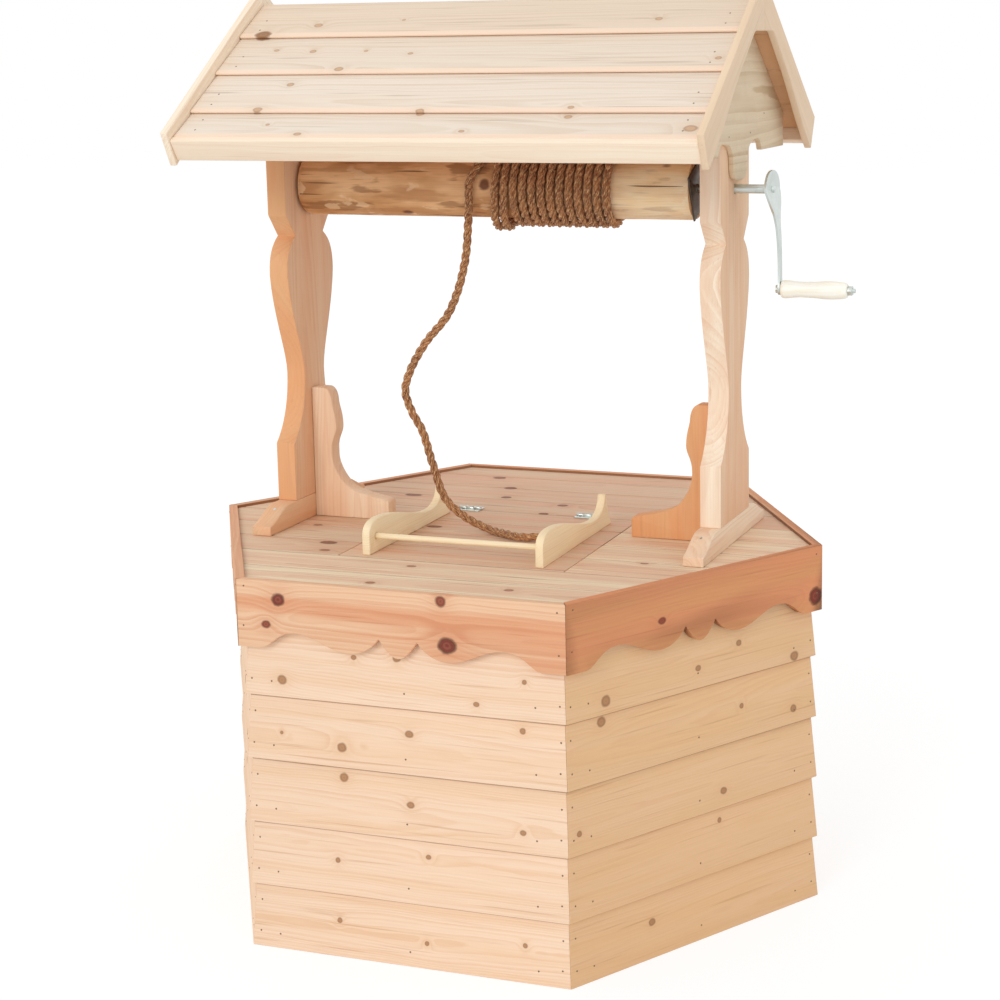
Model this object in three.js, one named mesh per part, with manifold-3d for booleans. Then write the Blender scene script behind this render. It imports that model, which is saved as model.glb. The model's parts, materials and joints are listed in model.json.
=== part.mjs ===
// Wishing well planter: a six-sided clad base with a scalloped rim, a hinged hatch in its deck,
// and a boarded roof on two shaped posts that carry a cranked log roller and its rope.
// Millimetres. +X along the roller towards the crank, -Y to the front, +Z up, ground at Z = 0.
import * as THREE from "three";
import Module from "manifold-3d";
import { mergeVertices } from "three/addons/utils/BufferGeometryUtils.js";

const wasm = await Module();
wasm.setup();

// General
const fit_gap = 0.3;            // between two pieces that touch
const overrun = 5;              // how far a cutter passes the face it cuts
const merge_distance = 1e-4;

// Base
const sides = 6;
const corner_radius = 600;      // to the outer corners of the rim boards
const deck_top_z = 661;
const deck_thickness = 20;
const rim_stand = 5;            // rim boards above the deck
const rim_thickness = 16;
const rim_height = 119;

const clad_set_in = 2.6;        // lowest board's edge inside the rim boards' faces
const clad_step_in = 1.65;      // each board inside the one below
const clad_exposure = 115;
const clad_lap = 14;
const clad_butt = 12;           // thickness at the lower edge
const clad_tip = 5;             // thickness at the upper edge
const clad_bite = 1.6;          // a butt laps the face below by this much of its thickness
const stud_depth = 32;
const stud_width = 88;
const rail_height = 40;
const bearer_height = 40;
const bearer_width = 70;
const bearer_end_inset = 7;     // from a cross bearer's outer edge to the floor board's corner
const floor_thickness = 15;
const drain_radius = 12;
const drain_circle = 330;
const drain_count = 6;

// Deck and hatch
const board_pitch = 103.75;
const groove_width = 3;
const groove_depth = 2.5;
const hatch_boards = 4;
const hatch_rear_y = 118;
const hatch_half_width = 216;
const hatch_play = 2;
const joist_width = 40;
const joist_ledge = 20;         // joist showing inside the hatch opening
const joist_height = 40;
const batten_width = 40;
const batten_height = 18;
const batten_inset = 24;        // from the hatch's side edge
const batten_end_inset = 42;

// Hatch handle
const handle_inset = 50.5;      // handle's middle from the hatch's side edge
const handle_thickness = 15;
const handle_height = 62;
const handle_front_inset = 12;
const handle_rear_inset = 38;
const dowel_radius = 5.5;
const dowel_inset = 29;         // from the front end of the handle sides
const dowel_rise = 30;          // above the deck
const dowel_socket = 8;

// Hinges
const leaf_length = 46;
const leaf_width = 14;
const leaf_thickness = 1.6;
const knuckle_radius = 3.4;
const hinge_pin_radius = 1.5;
const knuckle_parts = 3;
const hinge_spacing = 122;
const hinge_shift = -10;        // the pair sits off centre by this

// Posts
const post_outer_x = 438;
const post_thickness = 38;
const post_half_width = 95;
const post_block_half_width = 92;
const post_top_clearance = 12;
const cleat_height = 45;
const cleat_half_length = 203;
const corbel_thickness = 34;
const corbel_length = 155;
const corbel_height = 252;

// Roof
const roof_pitch = THREE.MathUtils.degToRad(34);
const roof_rise = 1002;         // top corner of the bargeboards above the deck
const roof_overhang = 30;       // from a gable board's face to a bargeboard
const barge_thickness = 13;
const barge_width = 65;         // square to the slope, at its foot
const barge_ridge_depth = 75;   // and at the ridge
const barge_stand = 17;         // bargeboard above the roof's surface
const barge_length = 450;       // along its top edge
const roof_boards = 4;
const roof_exposure = 115;
const roof_first = 100.5;       // lower edge of the top board, down the slope
const roof_lap = 10;
const roof_butt = 16;           // board thickness at its lower edge
const roof_tip = 9;             // and at its upper edge
const eave_thickness = 13;
const eave_width = 42;
const gable_thickness = 10;
const gable_half_width = 298;
const gable_depth = 262.2;      // from the ridge down to the foot

// Windlass
const roller_rise = 639;        // roller's axis above the deck
const roller_radius = 57.5;
const roller_play_left = 7;
const roller_play_right = 33;   // room for the end plate
const roller_facets = 36;
const shaft_radius = 8;
const shaft_clearance = 1;
const shaft_grip = 80;          // length of shaft inside the roller
const pin_stand = 3;            // idle pin past the post's outer face
const spigot_radius = 6;
const spigot_stand = 3;
const plate_thickness = 3;
const plate_side = 86;
const plate_turn = THREE.MathUtils.degToRad(25);
const bore_facets = 24;
const small_facets = 16;

// Crank
const crank_clearance = 11.5;   // from the bargeboards to the arm
const arm_thickness = 4;
const arm_length = 175;
const arm_pad_radius = 31;
const arm_end_radius = 11;
const arm_cant = 15;            // the arm sweeps out this far on its way down
const arm_bend_step = 12;
const grip_length = 120;
const grip_radius = 16.5;
const bolt_radius = 4;
const bolt_head_radius = 8;
const bolt_head_length = 4.5;
const nut_radius = 9;
const nut_length = 8;
const bolt_tail = 5;

// Rope
const rope_diameter = 16;
const rope_pitch = 17.7;
const rope_turns = 13;
const rope_start_turn = 1 / 6;  // where on the roller the first turn begins
const rope_first_x = 226;
const rope_tail_shift = 33;     // the last run slants sideways by this
const rope_tail_turn = 0.25;
const rope_slack = 8;           // two loose turns hang lower by this
const rope_slack_shift = 10;    // and lean sideways by this
const rope_slack_turns = 2;
const rope_loop_steps = 24;
const rope_loop_sides = 6;
const rope_free_sides = 8;
const rope_free_steps = 30;
const rope_lie_gap = 0.6;

// Outlines as shares of a piece's length and height. The first row is the start. Two numbers end a
// straight line and six a curve. An outline marked half is mirrored about its last point.
const scallop_half_shares = [
  [1, 0], [0.86, 0], [0.79, 0.01, 0.76, 0.255, 0.633, 0.255],
  [0.52, 0.255, 0.42, 0.025, 0.31, 0.025], [0.22, 0.025, 0.16, 0.13, 0.117, 0.277],
  [0.08, 0.16, 0.05, 0.017, 0, 0.017],
];
const handle_shares = [
  [0, 0], [1, 0], [0.989, 0.1], [0.96, 0.35, 0.93, 0.68, 0.923, 0.97],
  [0.92, 1.02, 0.905, 1.02, 0.902, 0.96], [0.885, 0.58, 0.83, 0.42, 0.74, 0.41],
  [0.62, 0.41, 0.5, 0.66, 0.36, 0.81], [0.27, 0.93, 0.19, 0.98, 0.11, 0.97],
  [0.04, 0.96, 0, 0.82, 0, 0.58],
];
const corbel_shares = [
  [0, 0], [1, 0], [1, 0.13], [1, 0.15, 0.96, 0.152, 0.92, 0.158],
  [0.7, 0.185, 0.48, 0.21, 0.4, 0.27], [0.3, 0.345, 0.23, 0.42, 0.25, 0.54],
  [0.265, 0.62, 0.32, 0.64, 0.32, 0.7], [0.32, 0.8, 0.27, 0.85, 0.27, 0.9],
  [0.26, 0.97, 0.21, 1, 0.16, 1], [0, 1],
];
const cleat_half_shares = [
  [1, 0], [1, 0.38], [0.85, 0.5, 0.74, 0.98, 0.6, 1], [0, 1],
];
// From the post's foot up to the roller's axis.
const post_side_shares = [
  [1, 0], [1, 0.186], [0.653, 0.233, 0.432, 0.309, 0.432, 0.402],
  [0.432, 0.469, 0.926, 0.596, 1, 0.722], [1, 0.772, 0.926, 0.812, 0.605, 0.843],
  [0.935, 0.906],
  [0.955, 0.909, 0.968, 0.912, 0.968, 0.92],
];
// Measured down from the ridge.
const gable_half_shares = [
  [1, 1], [0.475, 1], [0.455, 0.957, 0.44, 0.918, 0.38, 0.918],
  [0.27, 0.918, 0.2, 0.933, 0.165, 1], [0.15, 1.038, 0.155, 1.096, 0.14, 1.125],
  [0.125, 1.159, 0.07, 1.175, 0, 1.175],
];
// A bargeboard's end and lower edge, down the slope and in from its top edge.
const barge_lower_shares = [
  [1, 0], [1.017, 1], [0.885, 0.97], [0.76, 0.95, 0.62, 0.735, 0.45, 0.69],
  [0.2, 0.63], [0.176, 0.667],
];
const grip_shares = [
  [0, 0.8], [0.025, 1], [0.09, 1], [0.28, 0.86], [0.5, 0.9], [0.7, 1], [0.87, 0.95],
  [0.98, 0.84], [1, 0.66],
];

// Places worked out from the sizes above
const side_angle = (2 * Math.PI) / sides;
const apothem_share = Math.cos(side_angle / 2);
const rim_apothem = corner_radius * apothem_share;
const rim_inner = rim_apothem - rim_thickness;
const rim_top_z = deck_top_z + rim_stand;
const rim_bottom_z = rim_top_z - rim_height;
const deck_bottom_z = deck_top_z - deck_thickness;
const on_deck_z = deck_top_z + fit_gap;
const wall_apothem = rim_apothem - clad_set_in;
const wall_top_z = deck_bottom_z - fit_gap;
const rail_bottom_z = wall_top_z - rail_height;
const rail_outer = rim_inner - fit_gap;
const stud_inner = rail_outer - stud_depth;
const clad_boards = Math.round(rail_bottom_z / clad_exposure);
const hatch_front_y = hatch_rear_y - hatch_boards * board_pitch;
const hatch_panel_half = hatch_half_width - hatch_play;
const handle_x = hatch_half_width - handle_inset;
const handle_front_y = hatch_front_y + handle_front_inset;
const handle_rear_y = hatch_rear_y - handle_rear_inset;
const dowel_y = handle_front_y + dowel_inset;
const dowel_z = deck_top_z + dowel_rise;
const hinge_axis_z = on_deck_z + knuckle_radius;
const post_inner_x = post_outer_x - post_thickness;
const post_foot_z = on_deck_z + cleat_height + fit_gap;
const roller_z = deck_top_z + roller_rise;
const gable_inner_x = post_outer_x + fit_gap;
const gable_outer_x = gable_inner_x + gable_thickness;
const barge_inner_x = gable_outer_x + roof_overhang;
const barge_outer_x = barge_inner_x + barge_thickness;
const roof_reach_x = barge_inner_x - fit_gap;
const cos_pitch = Math.cos(roof_pitch);
const sin_pitch = Math.sin(roof_pitch);
const tan_pitch = Math.tan(roof_pitch);
const barge_high = roof_butt + barge_stand;
const ridge_z = deck_top_z + roof_rise - barge_high / cos_pitch;
const slope_end = barge_length - barge_high * tan_pitch;
const post_top_z = ridge_z - post_block_half_width * tan_pitch - post_top_clearance;
const roller_left_x = -post_inner_x + roller_play_left;
const roller_right_x = post_inner_x - roller_play_right;
const arm_x = barge_outer_x + crank_clearance;
const grip_z = roller_z - arm_length;
const grip_start_x = arm_x + arm_cant + arm_thickness + fit_gap;
const grip_end_x = grip_start_x + grip_length;
const rope_radius = rope_diameter / 2;
const rope_wrap_radius = roller_radius + rope_radius + fit_gap;

// Solids

function solidOf(geometry) {
  const plain = geometry.index ? geometry.toNonIndexed() : geometry;
  const bare = new THREE.BufferGeometry().setAttribute("position", plain.getAttribute("position"));
  const merged = mergeVertices(bare, merge_distance);
  return new wasm.Manifold(new wasm.Mesh({
    numProp: 3,
    vertProperties: new Float32Array(merged.attributes.position.array),
    triVerts: new Uint32Array(merged.index.array),
  }));
}

function geometryOf(solid) {
  const mesh = solid.getMesh();
  const geometry = new THREE.BufferGeometry();
  geometry.setAttribute("position", new THREE.BufferAttribute(mesh.vertProperties, mesh.numProp));
  geometry.setIndex(new THREE.BufferAttribute(mesh.triVerts, 1));
  const flat = geometry.toNonIndexed();
  flat.computeVertexNormals();
  return flat;
}

const joined = (...solids) => solids.reduce((a, b) => a.add(b));
const cut = (solid, ...cutters) => cutters.reduce((a, b) => a.subtract(b), solid);

function shapeOf(points) {
  return new THREE.Shape(points.map(([a, b]) => new THREE.Vector2(a, b)));
}

function extruded(shape, depth, steps) {
  return new THREE.ExtrudeGeometry(shape, { depth, bevelEnabled: false, curveSegments: steps });
}

// A profile drawn in Y and Z, carried along X from x0 to x1.
function alongX(shape, x0, x1, steps = 8) {
  const turn = new THREE.Matrix4().set(0, 0, 1, x0, 1, 0, 0, 0, 0, 1, 0, 0, 0, 0, 0, 1);
  return solidOf(extruded(shape, x1 - x0, steps).applyMatrix4(turn));
}

// A profile drawn in X and Z, carried along Y from y0 to y1.
function alongY(shape, y0, y1, steps = 8) {
  const turn = new THREE.Matrix4().set(1, 0, 0, 0, 0, 0, -1, y1, 0, 1, 0, 0, 0, 0, 0, 1);
  return solidOf(extruded(shape, y1 - y0, steps).applyMatrix4(turn));
}

// A profile drawn in X and Y, carried up from z0 to z1.
function alongZ(shape, z0, z1) {
  return solidOf(extruded(shape, z1 - z0, 1).translate(0, 0, z0));
}

function block(x0, x1, y0, y1, z0, z1) {
  return alongZ(shapeOf([[x0, y0], [x1, y0], [x1, y1], [x0, y1]]), z0, z1);
}

// A ring of points for a many-sided round section, flats at its top and bottom.
function ringShape(radius, facets, a0 = 0, b0 = 0) {
  const ring = [];
  for (let i = 0; i < facets; i++) {
    const angle = ((i + 0.5) * 2 * Math.PI) / facets;
    ring.push([a0 + radius * Math.sin(angle), b0 - radius * Math.cos(angle)]);
  }
  return shapeOf(ring);
}

// A round bar along X.
function bar(x0, x1, radius, y, z, facets = bore_facets) {
  return alongX(ringShape(radius, facets, y, z), x0, x1);
}

// An outline from rows of shares of `wide` and `high`, drawn from the point (a0, b0).
function outline(rows, wide, high, a0, b0) {
  const shape = new THREE.Shape();
  rows.forEach((row, i) => {
    const at = row.map((share, k) => (k % 2 ? b0 + share * high : a0 + share * wide));
    if (i === 0) shape.moveTo(...at);
    else if (at.length === 2) shape.lineTo(...at);
    else shape.bezierCurveTo(...at);
  });
  return shape;
}

// The rows of a half outline, followed by the same rows mirrored and run backwards.
function bothHalves(rows) {
  const mirror = (row) => row.map((share, k) => (k % 2 ? share : -share));
  const back = [];
  for (let i = rows.length - 1; i > 0; i--) {
    const to = rows[i - 1].slice(-2);
    const [a, b, c, d] = rows[i];
    back.push(mirror(rows[i].length === 2 ? to : [c, d, a, b, ...to]));
  }
  return [...rows, ...back];
}

// Base

// The wedge of space that belongs to the front side of the hexagon.
function sideWedge() {
  const reach = corner_radius + rim_thickness;
  const half = Math.tan(side_angle / 2);
  const inset = fit_gap / 2 / apothem_share;
  return alongZ(shapeOf([
    [-overrun * half + inset, -overrun], [-reach * half + inset, -reach],
    [reach * half - inset, -reach], [overrun * half - inset, -overrun],
  ]), -overrun, rim_top_z + overrun);
}

function onSide(solid, index) {
  return solid.rotate([0, 0, index * (360 / sides)]);
}

// One feather-edge board in Y and Z, its lower edge standing out over the board below.
function cladBoard(index) {
  const bottom = index * clad_exposure;
  const is_top = index === clad_boards - 1;
  const top = is_top ? rail_bottom_z + fit_gap : bottom + clad_exposure + clad_lap;
  const out = wall_apothem - index * clad_step_in;
  const top_out = out - ((clad_butt - clad_bite) * (top - bottom)) / clad_exposure;
  return shapeOf([
    [-out, bottom], [-out + clad_butt, bottom], [-top_out + clad_tip, top], [-top_out, top],
  ]);
}

// An upright behind the boards, its outer face leaning in with them.
function stud(x) {
  const foot = wall_apothem - clad_butt;
  const head = foot - (clad_step_in * rail_bottom_z) / clad_exposure;
  const profile = shapeOf([
    [-foot, 0], [-stud_inner, 0], [-stud_inner, wall_top_z],
    [-head, wall_top_z], [-head, rail_bottom_z],
  ]);
  return alongX(profile, x - stud_width / 2, x + stud_width / 2);
}

function wallPanel() {
  const reach = corner_radius;
  const boards = [];
  for (let i = 0; i < clad_boards; i++) boards.push(alongX(cladBoard(i), -reach, reach));
  const rail = block(-reach, reach, -rail_outer, -stud_inner, rail_bottom_z, wall_top_z);
  const studs = [-reach / 2, 0, reach / 2].map(stud);
  const behind_rim = block(-reach, reach, -reach, -rail_outer, rim_bottom_z - fit_gap, rim_top_z);
  return cut(joined(...boards, rail, ...studs), behind_rim).intersect(sideWedge());
}

function rimBoard() {
  const half_length = corner_radius / 2;
  const lower = bothHalves(scallop_half_shares);
  const shape = outline(lower, half_length, rim_height, 0, rim_bottom_z);
  shape.lineTo(-half_length - rim_thickness, rim_bottom_z);
  shape.lineTo(-half_length - rim_thickness, rim_top_z);
  shape.lineTo(half_length + rim_thickness, rim_top_z);
  shape.lineTo(half_length + rim_thickness, rim_bottom_z);
  return alongY(shape, -rim_apothem, -rim_inner, 7).intersect(sideWedge());
}

function hexagonShape(apothem) {
  const ring = [];
  for (let i = 0; i < sides; i++) {
    const angle = i * side_angle;
    const radius = apothem / apothem_share;
    ring.push([radius * Math.cos(angle), radius * Math.sin(angle)]);
  }
  return shapeOf(ring);
}

function floorBoard() {
  const bottom = bearer_height + fit_gap;
  const top = bottom + floor_thickness;
  const slab = alongZ(hexagonShape(stud_inner - fit_gap), bottom, top);
  const drains = [];
  for (let i = 0; i < drain_count; i++) {
    const angle = ((i + 0.5) * 2 * Math.PI) / drain_count;
    const hole = ringShape(drain_radius, bore_facets,
      drain_circle * Math.cos(angle), drain_circle * Math.sin(angle));
    drains.push(alongZ(hole, bottom - overrun, top + overrun));
  }
  return cut(slab, ...drains);
}

// A bearer across the whole base and two crosswise under the floor board's corners.
function baseBearers() {
  const clear = stud_inner - fit_gap;
  const half = bearer_width / 2;
  const reach_x = (clear - half * Math.sin(side_angle / 2)) / apothem_share;
  const spacing = clear * Math.tan(side_angle / 2) - bearer_end_inset - half;
  const bearers = [block(-reach_x, reach_x, -half, half, 0, bearer_height)];
  for (const x of [-spacing, spacing]) {
    bearers.push(block(x - half, x + half, -clear, clear, 0, bearer_height));
  }
  return joined(...bearers);
}

// Deck

// V-grooves between the deck boards.
function deckGrooves() {
  const flare = (groove_width / 2) * ((groove_depth + overrun) / groove_depth);
  const bottom = deck_top_z - groove_depth;
  const top = deck_top_z + overrun;
  const cutters = [];
  const first = hatch_rear_y - Math.floor((hatch_rear_y + corner_radius) / board_pitch) * board_pitch;
  for (let y = first; y < corner_radius; y += board_pitch) {
    cutters.push(alongX(shapeOf([[y, bottom], [y + flare, top], [y - flare, top]]),
      -corner_radius, corner_radius));
  }
  return cutters;
}

function deckPanel(x0, x1, y0, y1) {
  const slab = alongZ(hexagonShape(rim_inner - fit_gap), deck_bottom_z, deck_top_z);
  const area = block(x0, x1, y0, y1, deck_bottom_z - overrun, deck_top_z + overrun);
  return cut(slab.intersect(area), ...deckGrooves());
}

function deckJoists() {
  const z0 = wall_top_z - joist_height;
  const inner = hatch_half_width - joist_ledge;
  const outer = inner + joist_width;
  const reach = stud_inner - fit_gap;
  const left = block(-outer, -inner, -reach, reach, z0, wall_top_z);
  const right = block(inner, outer, -reach, reach, z0, wall_top_z);
  const trimmers = [hatch_front_y, hatch_rear_y].map((y) =>
    block(-outer, outer, y - joist_width / 2, y + joist_width / 2, z0, wall_top_z));
  return joined(left, right, ...trimmers);
}

function hatchPanel() {
  const panel = block(-hatch_panel_half, hatch_panel_half,
    hatch_front_y + hatch_play, hatch_rear_y - hatch_play, deck_bottom_z, deck_top_z);
  const battens = [-1, 1].map((s) => {
    const middle = s * (hatch_panel_half - batten_inset - batten_width / 2);
    return block(middle - batten_width / 2, middle + batten_width / 2,
      hatch_front_y + batten_end_inset, hatch_rear_y - batten_end_inset,
      deck_bottom_z - batten_height, deck_bottom_z + groove_depth);
  });
  return joined(cut(panel, ...deckGrooves()), ...battens);
}

// A side of the hatch handle: a low hump in front and a thin prop at the back.
function handleSide(s) {
  const middle = s * handle_x;
  const inner = middle - (s * handle_thickness) / 2;
  const shape = outline(handle_shares, handle_rear_y - handle_front_y, handle_height,
    handle_front_y, on_deck_z);
  const board = alongX(shape, middle - handle_thickness / 2, middle + handle_thickness / 2, 6);
  return cut(board, bar(inner - dowel_socket, inner + dowel_socket,
    dowel_radius + fit_gap, dowel_y, dowel_z, small_facets));
}

function handleDowel() {
  const reach = handle_x - handle_thickness / 2 + dowel_socket - fit_gap;
  return bar(-reach, reach, dowel_radius, dowel_y, dowel_z, small_facets);
}

// A hinge leaf: the flat plate on the boards and its share of the knuckle.
function hingeLeaf(s, is_moving) {
  const part = leaf_length / knuckle_parts;
  const start = hinge_shift + s * hinge_spacing - leaf_length / 2;
  const reach = leaf_width + knuckle_radius;
  const plate = block(start, start + leaf_length, is_moving ? hatch_rear_y - reach : hatch_rear_y,
    is_moving ? hatch_rear_y : hatch_rear_y + reach, on_deck_z, on_deck_z + leaf_thickness);
  const barrel = (i, radius, play) => bar(start + i * part + play, start + (i + 1) * part - play,
    radius, hatch_rear_y, hinge_axis_z, small_facets);
  const pin = (radius, stand) => bar(start - stand, start + leaf_length + stand, radius,
    hatch_rear_y, hinge_axis_z, small_facets);
  const mine = [];
  const relief = [];
  for (let i = 0; i < knuckle_parts; i++) {
    if ((i % 2 === 1) === is_moving) mine.push(barrel(i, knuckle_radius, fit_gap));
    else relief.push(barrel(i, knuckle_radius + 2 * fit_gap, 0));
  }
  const leaf = joined(cut(plate, ...relief), ...mine);
  if (is_moving) return cut(leaf, pin(hinge_pin_radius + fit_gap, overrun));
  return joined(leaf, pin(hinge_pin_radius, -fit_gap));
}

// Posts

// The clearance hole that the roller's shafts pass through, from face to face of a board.
function shaftWay(x0, x1) {
  return bar(x0 - overrun, x1 + overrun, shaft_radius + shaft_clearance, 0, roller_z);
}

function post(s) {
  const x0 = s > 0 ? post_inner_x : -post_outer_x;
  const rows = post_side_shares;
  const side = outline(rows, post_half_width, roller_z - post_foot_z, 0, post_foot_z);
  side.lineTo(post_block_half_width, post_top_z);
  side.lineTo(0, post_top_z);
  side.lineTo(0, post_foot_z);
  const half = alongX(side, x0, x0 + post_thickness, 9);
  return cut(joined(half, half.mirror([0, 1, 0])), shaftWay(x0, x0 + post_thickness));
}

function footCleat(s) {
  const x0 = s > 0 ? post_inner_x : -post_outer_x;
  const shape = outline(bothHalves(cleat_half_shares), cleat_half_length, cleat_height, 0, on_deck_z);
  return alongX(shape, x0, x0 + post_thickness, 6);
}

function corbel(s) {
  const back = -post_inner_x + fit_gap;
  const shape = outline(corbel_shares, corbel_length, corbel_height, back, on_deck_z);
  const left = alongY(shape, -corbel_thickness / 2, corbel_thickness / 2, 7);
  return s < 0 ? left : left.mirror([1, 0, 0]);
}

// Roof

// A point of the front slope: down it from the ridge, and out from the boards' underside.
function onSlope(down, out) {
  return [-down * cos_pitch - out * sin_pitch, ridge_z - down * sin_pitch + out * cos_pitch];
}

// How far down the slope the plumb cut at the ridge lies at the height `out`.
const plumb = (out) => (fit_gap / 2 - out * sin_pitch) / cos_pitch;

// A section of the front slope carried along X, mirrored for the rear slope.
function slopePiece(points, x0, x1, s) {
  const front = alongX(shapeOf(points), x0, x1);
  return s < 0 ? front : front.mirror([0, 1, 0]);
}

function roofBoardSpan(index) {
  const is_last = index === roof_boards - 1;
  const upper = roof_first + (index - 1) * roof_exposure + fit_gap;
  const seam = roof_first + index * roof_exposure;
  const lower = is_last ? slope_end - eave_thickness - fit_gap : seam;
  return { upper, lower, lip: is_last ? lower : lower + roof_lap };
}

// Thickness of a roof board where it lies `down` the slope.
function roofThickness(index, down) {
  const { upper, lip } = roofBoardSpan(index);
  return roof_tip + ((roof_butt - roof_tip) * (down - upper)) / (lip - upper);
}

// A feather-edge board whose rebated lower lip laps the board below.
function roofBoard(s, index) {
  const { upper, lower, lip } = roofBoardSpan(index);
  const rebate = index < roof_boards - 1 ? roofThickness(index + 1, lip) + fit_gap : 0;
  const top = index > 0 ? [onSlope(upper, roof_tip), onSlope(upper, 0)]
    : [onSlope(plumb(roof_tip), roof_tip), onSlope(plumb(0), 0)];
  const lap = lip > lower ? [onSlope(lower, rebate), onSlope(lip, rebate)] : [];
  const points = [...top, onSlope(lower, 0), ...lap, onSlope(lip, roof_butt)];
  return slopePiece(points, -roof_reach_x, roof_reach_x, s);
}

function bargeBoard(end, s) {
  const low = barge_high - barge_ridge_depth;
  const shape = outline(barge_lower_shares, slope_end, -barge_width, 0, barge_high);
  shape.lineTo(plumb(low), low);
  shape.lineTo(plumb(barge_high), barge_high);
  const points = shape.getPoints(6).map(({ x, y }) => onSlope(x, y));
  const x0 = end > 0 ? barge_inner_x : -barge_outer_x;
  return slopePiece(points, x0, x0 + barge_thickness, s);
}

function eaveBoard(s) {
  const start = slope_end - eave_thickness;
  const low = roof_butt - eave_width;
  const points = [onSlope(start, low), onSlope(slope_end, low),
    onSlope(slope_end, roof_butt), onSlope(start, roof_butt)];
  return slopePiece(points, -roof_reach_x, roof_reach_x, s);
}

// The board across each gable, with an arched notch on either side of a rounded drop that ends above
// the shaft. The shaft's way through is kept free in it, as in the posts.
function gableBoard(s) {
  const top = ridge_z - fit_gap / cos_pitch;
  const shape = outline(bothHalves(gable_half_shares), gable_half_width, -gable_depth, 0, ridge_z);
  shape.lineTo(-gable_half_width, top - gable_half_width * tan_pitch);
  shape.lineTo(0, top);
  shape.lineTo(gable_half_width, top - gable_half_width * tan_pitch);
  const x0 = s > 0 ? gable_inner_x : -gable_outer_x;
  return cut(alongX(shape, x0, x0 + gable_thickness, 6), shaftWay(x0, x0 + gable_thickness));
}

// Windlass

function roller() {
  const bore = shaft_radius + fit_gap;
  const log = bar(roller_left_x, roller_right_x, roller_radius, 0, roller_z, roller_facets);
  const right_bore = bar(roller_right_x - shaft_grip, roller_right_x + overrun, bore, 0, roller_z);
  const left_bore = bar(roller_left_x - overrun, roller_left_x + shaft_grip, bore, 0, roller_z);
  return cut(log, right_bore, left_bore);
}

function crankShaft() {
  const shoulder = arm_x - fit_gap;
  const rod = bar(roller_right_x - shaft_grip + fit_gap, shoulder, shaft_radius, 0, roller_z);
  const spigot = bar(shoulder - overrun, arm_x + arm_thickness + spigot_stand,
    spigot_radius, 0, roller_z);
  return joined(rod, spigot);
}

function idlePin() {
  return bar(-post_outer_x - pin_stand, roller_left_x + shaft_grip - fit_gap,
    shaft_radius, 0, roller_z);
}

// A square plate nailed to the roller's end, its corners just past the log.
function endPlate() {
  const x0 = roller_right_x + fit_gap;
  const x1 = x0 + plate_thickness;
  const corners = [];
  for (let i = 0; i < 4; i++) {
    const angle = plate_turn + ((i + 0.5) * Math.PI) / 2;
    const reach = (plate_side / 2) * Math.SQRT2;
    corners.push([reach * Math.cos(angle), roller_z + reach * Math.sin(angle)]);
  }
  return cut(alongX(shapeOf(corners), x0, x1),
    bar(x0 - overrun, x1 + overrun, shaft_radius + fit_gap, 0, roller_z));
}

// A flat arm with a round pad at the shaft, tapering to the grip and sweeping out on its way down.
function crankArm() {
  const x1 = arm_x + arm_thickness;
  const pad = bar(arm_x, x1, arm_pad_radius, 0, roller_z, roller_facets);
  const shoulder_z = roller_z - arm_pad_radius / 2;
  const shoulder = arm_pad_radius * Math.cos(side_angle / 2);
  const shape = new THREE.Shape();
  shape.moveTo(shoulder, shoulder_z);
  shape.lineTo(-shoulder, shoulder_z);
  shape.bezierCurveTo(-arm_end_radius, shoulder_z - arm_pad_radius,
    -arm_end_radius, grip_z + arm_pad_radius, -arm_end_radius, grip_z);
  shape.absarc(0, grip_z, arm_end_radius, Math.PI, 2 * Math.PI, false);
  shape.bezierCurveTo(arm_end_radius, grip_z + arm_pad_radius,
    arm_end_radius, shoulder_z - arm_pad_radius, shoulder, shoulder_z);
  const flat = joined(pad, alongX(shape, arm_x, x1, 8)).refineToLength(arm_bend_step);
  const swept = flat.warp((v) => {
    const above = 1 - Math.max(0, roller_z - v[2]) / arm_length;
    v[0] += arm_cant * (1 - above ** 3);
  });
  return cut(swept,
    bar(arm_x - overrun, x1 + overrun, spigot_radius + fit_gap, 0, roller_z),
    bar(arm_x - overrun, grip_start_x + overrun, bolt_radius + fit_gap, 0, grip_z));
}

function crankGrip() {
  const bore = bolt_radius + fit_gap;
  const profile = [[bore, 0]];
  for (const [along, out] of grip_shares) profile.push([out * grip_radius, along * grip_length]);
  profile.push([bore, grip_length], [bore, 0]);
  const lathe = new THREE.LatheGeometry(
    profile.map(([r, x]) => new THREE.Vector2(r, x)), roller_facets / 2);
  const turn = new THREE.Matrix4().set(
    0, 1, 0, grip_start_x, 1, 0, 0, 0, 0, 0, -1, grip_z, 0, 0, 0, 1);
  return solidOf(lathe.applyMatrix4(turn));
}

function gripBolt() {
  const head_end = arm_x + arm_cant - fit_gap;
  const head = bar(head_end - bolt_head_length, head_end, bolt_head_radius, 0, grip_z, sides);
  const tip = grip_end_x + fit_gap + nut_length + bolt_tail;
  return joined(head, bar(head_end - bolt_head_length / 2, tip, bolt_radius, 0, grip_z, small_facets));
}

function gripNut() {
  const x0 = grip_end_x + fit_gap;
  return cut(bar(x0, x0 + nut_length, nut_radius, 0, grip_z, sides),
    bar(x0 - overrun, x0 + nut_length + overrun, bolt_radius + fit_gap, 0, grip_z, small_facets));
}

// Rope

// The wound rope starts behind the roller's top and ends in front of its axis.
const rope_total_turns = rope_turns + 1 / 2 - rope_start_turn;
const rope_steps = Math.round(rope_total_turns * rope_loop_steps);

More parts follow.
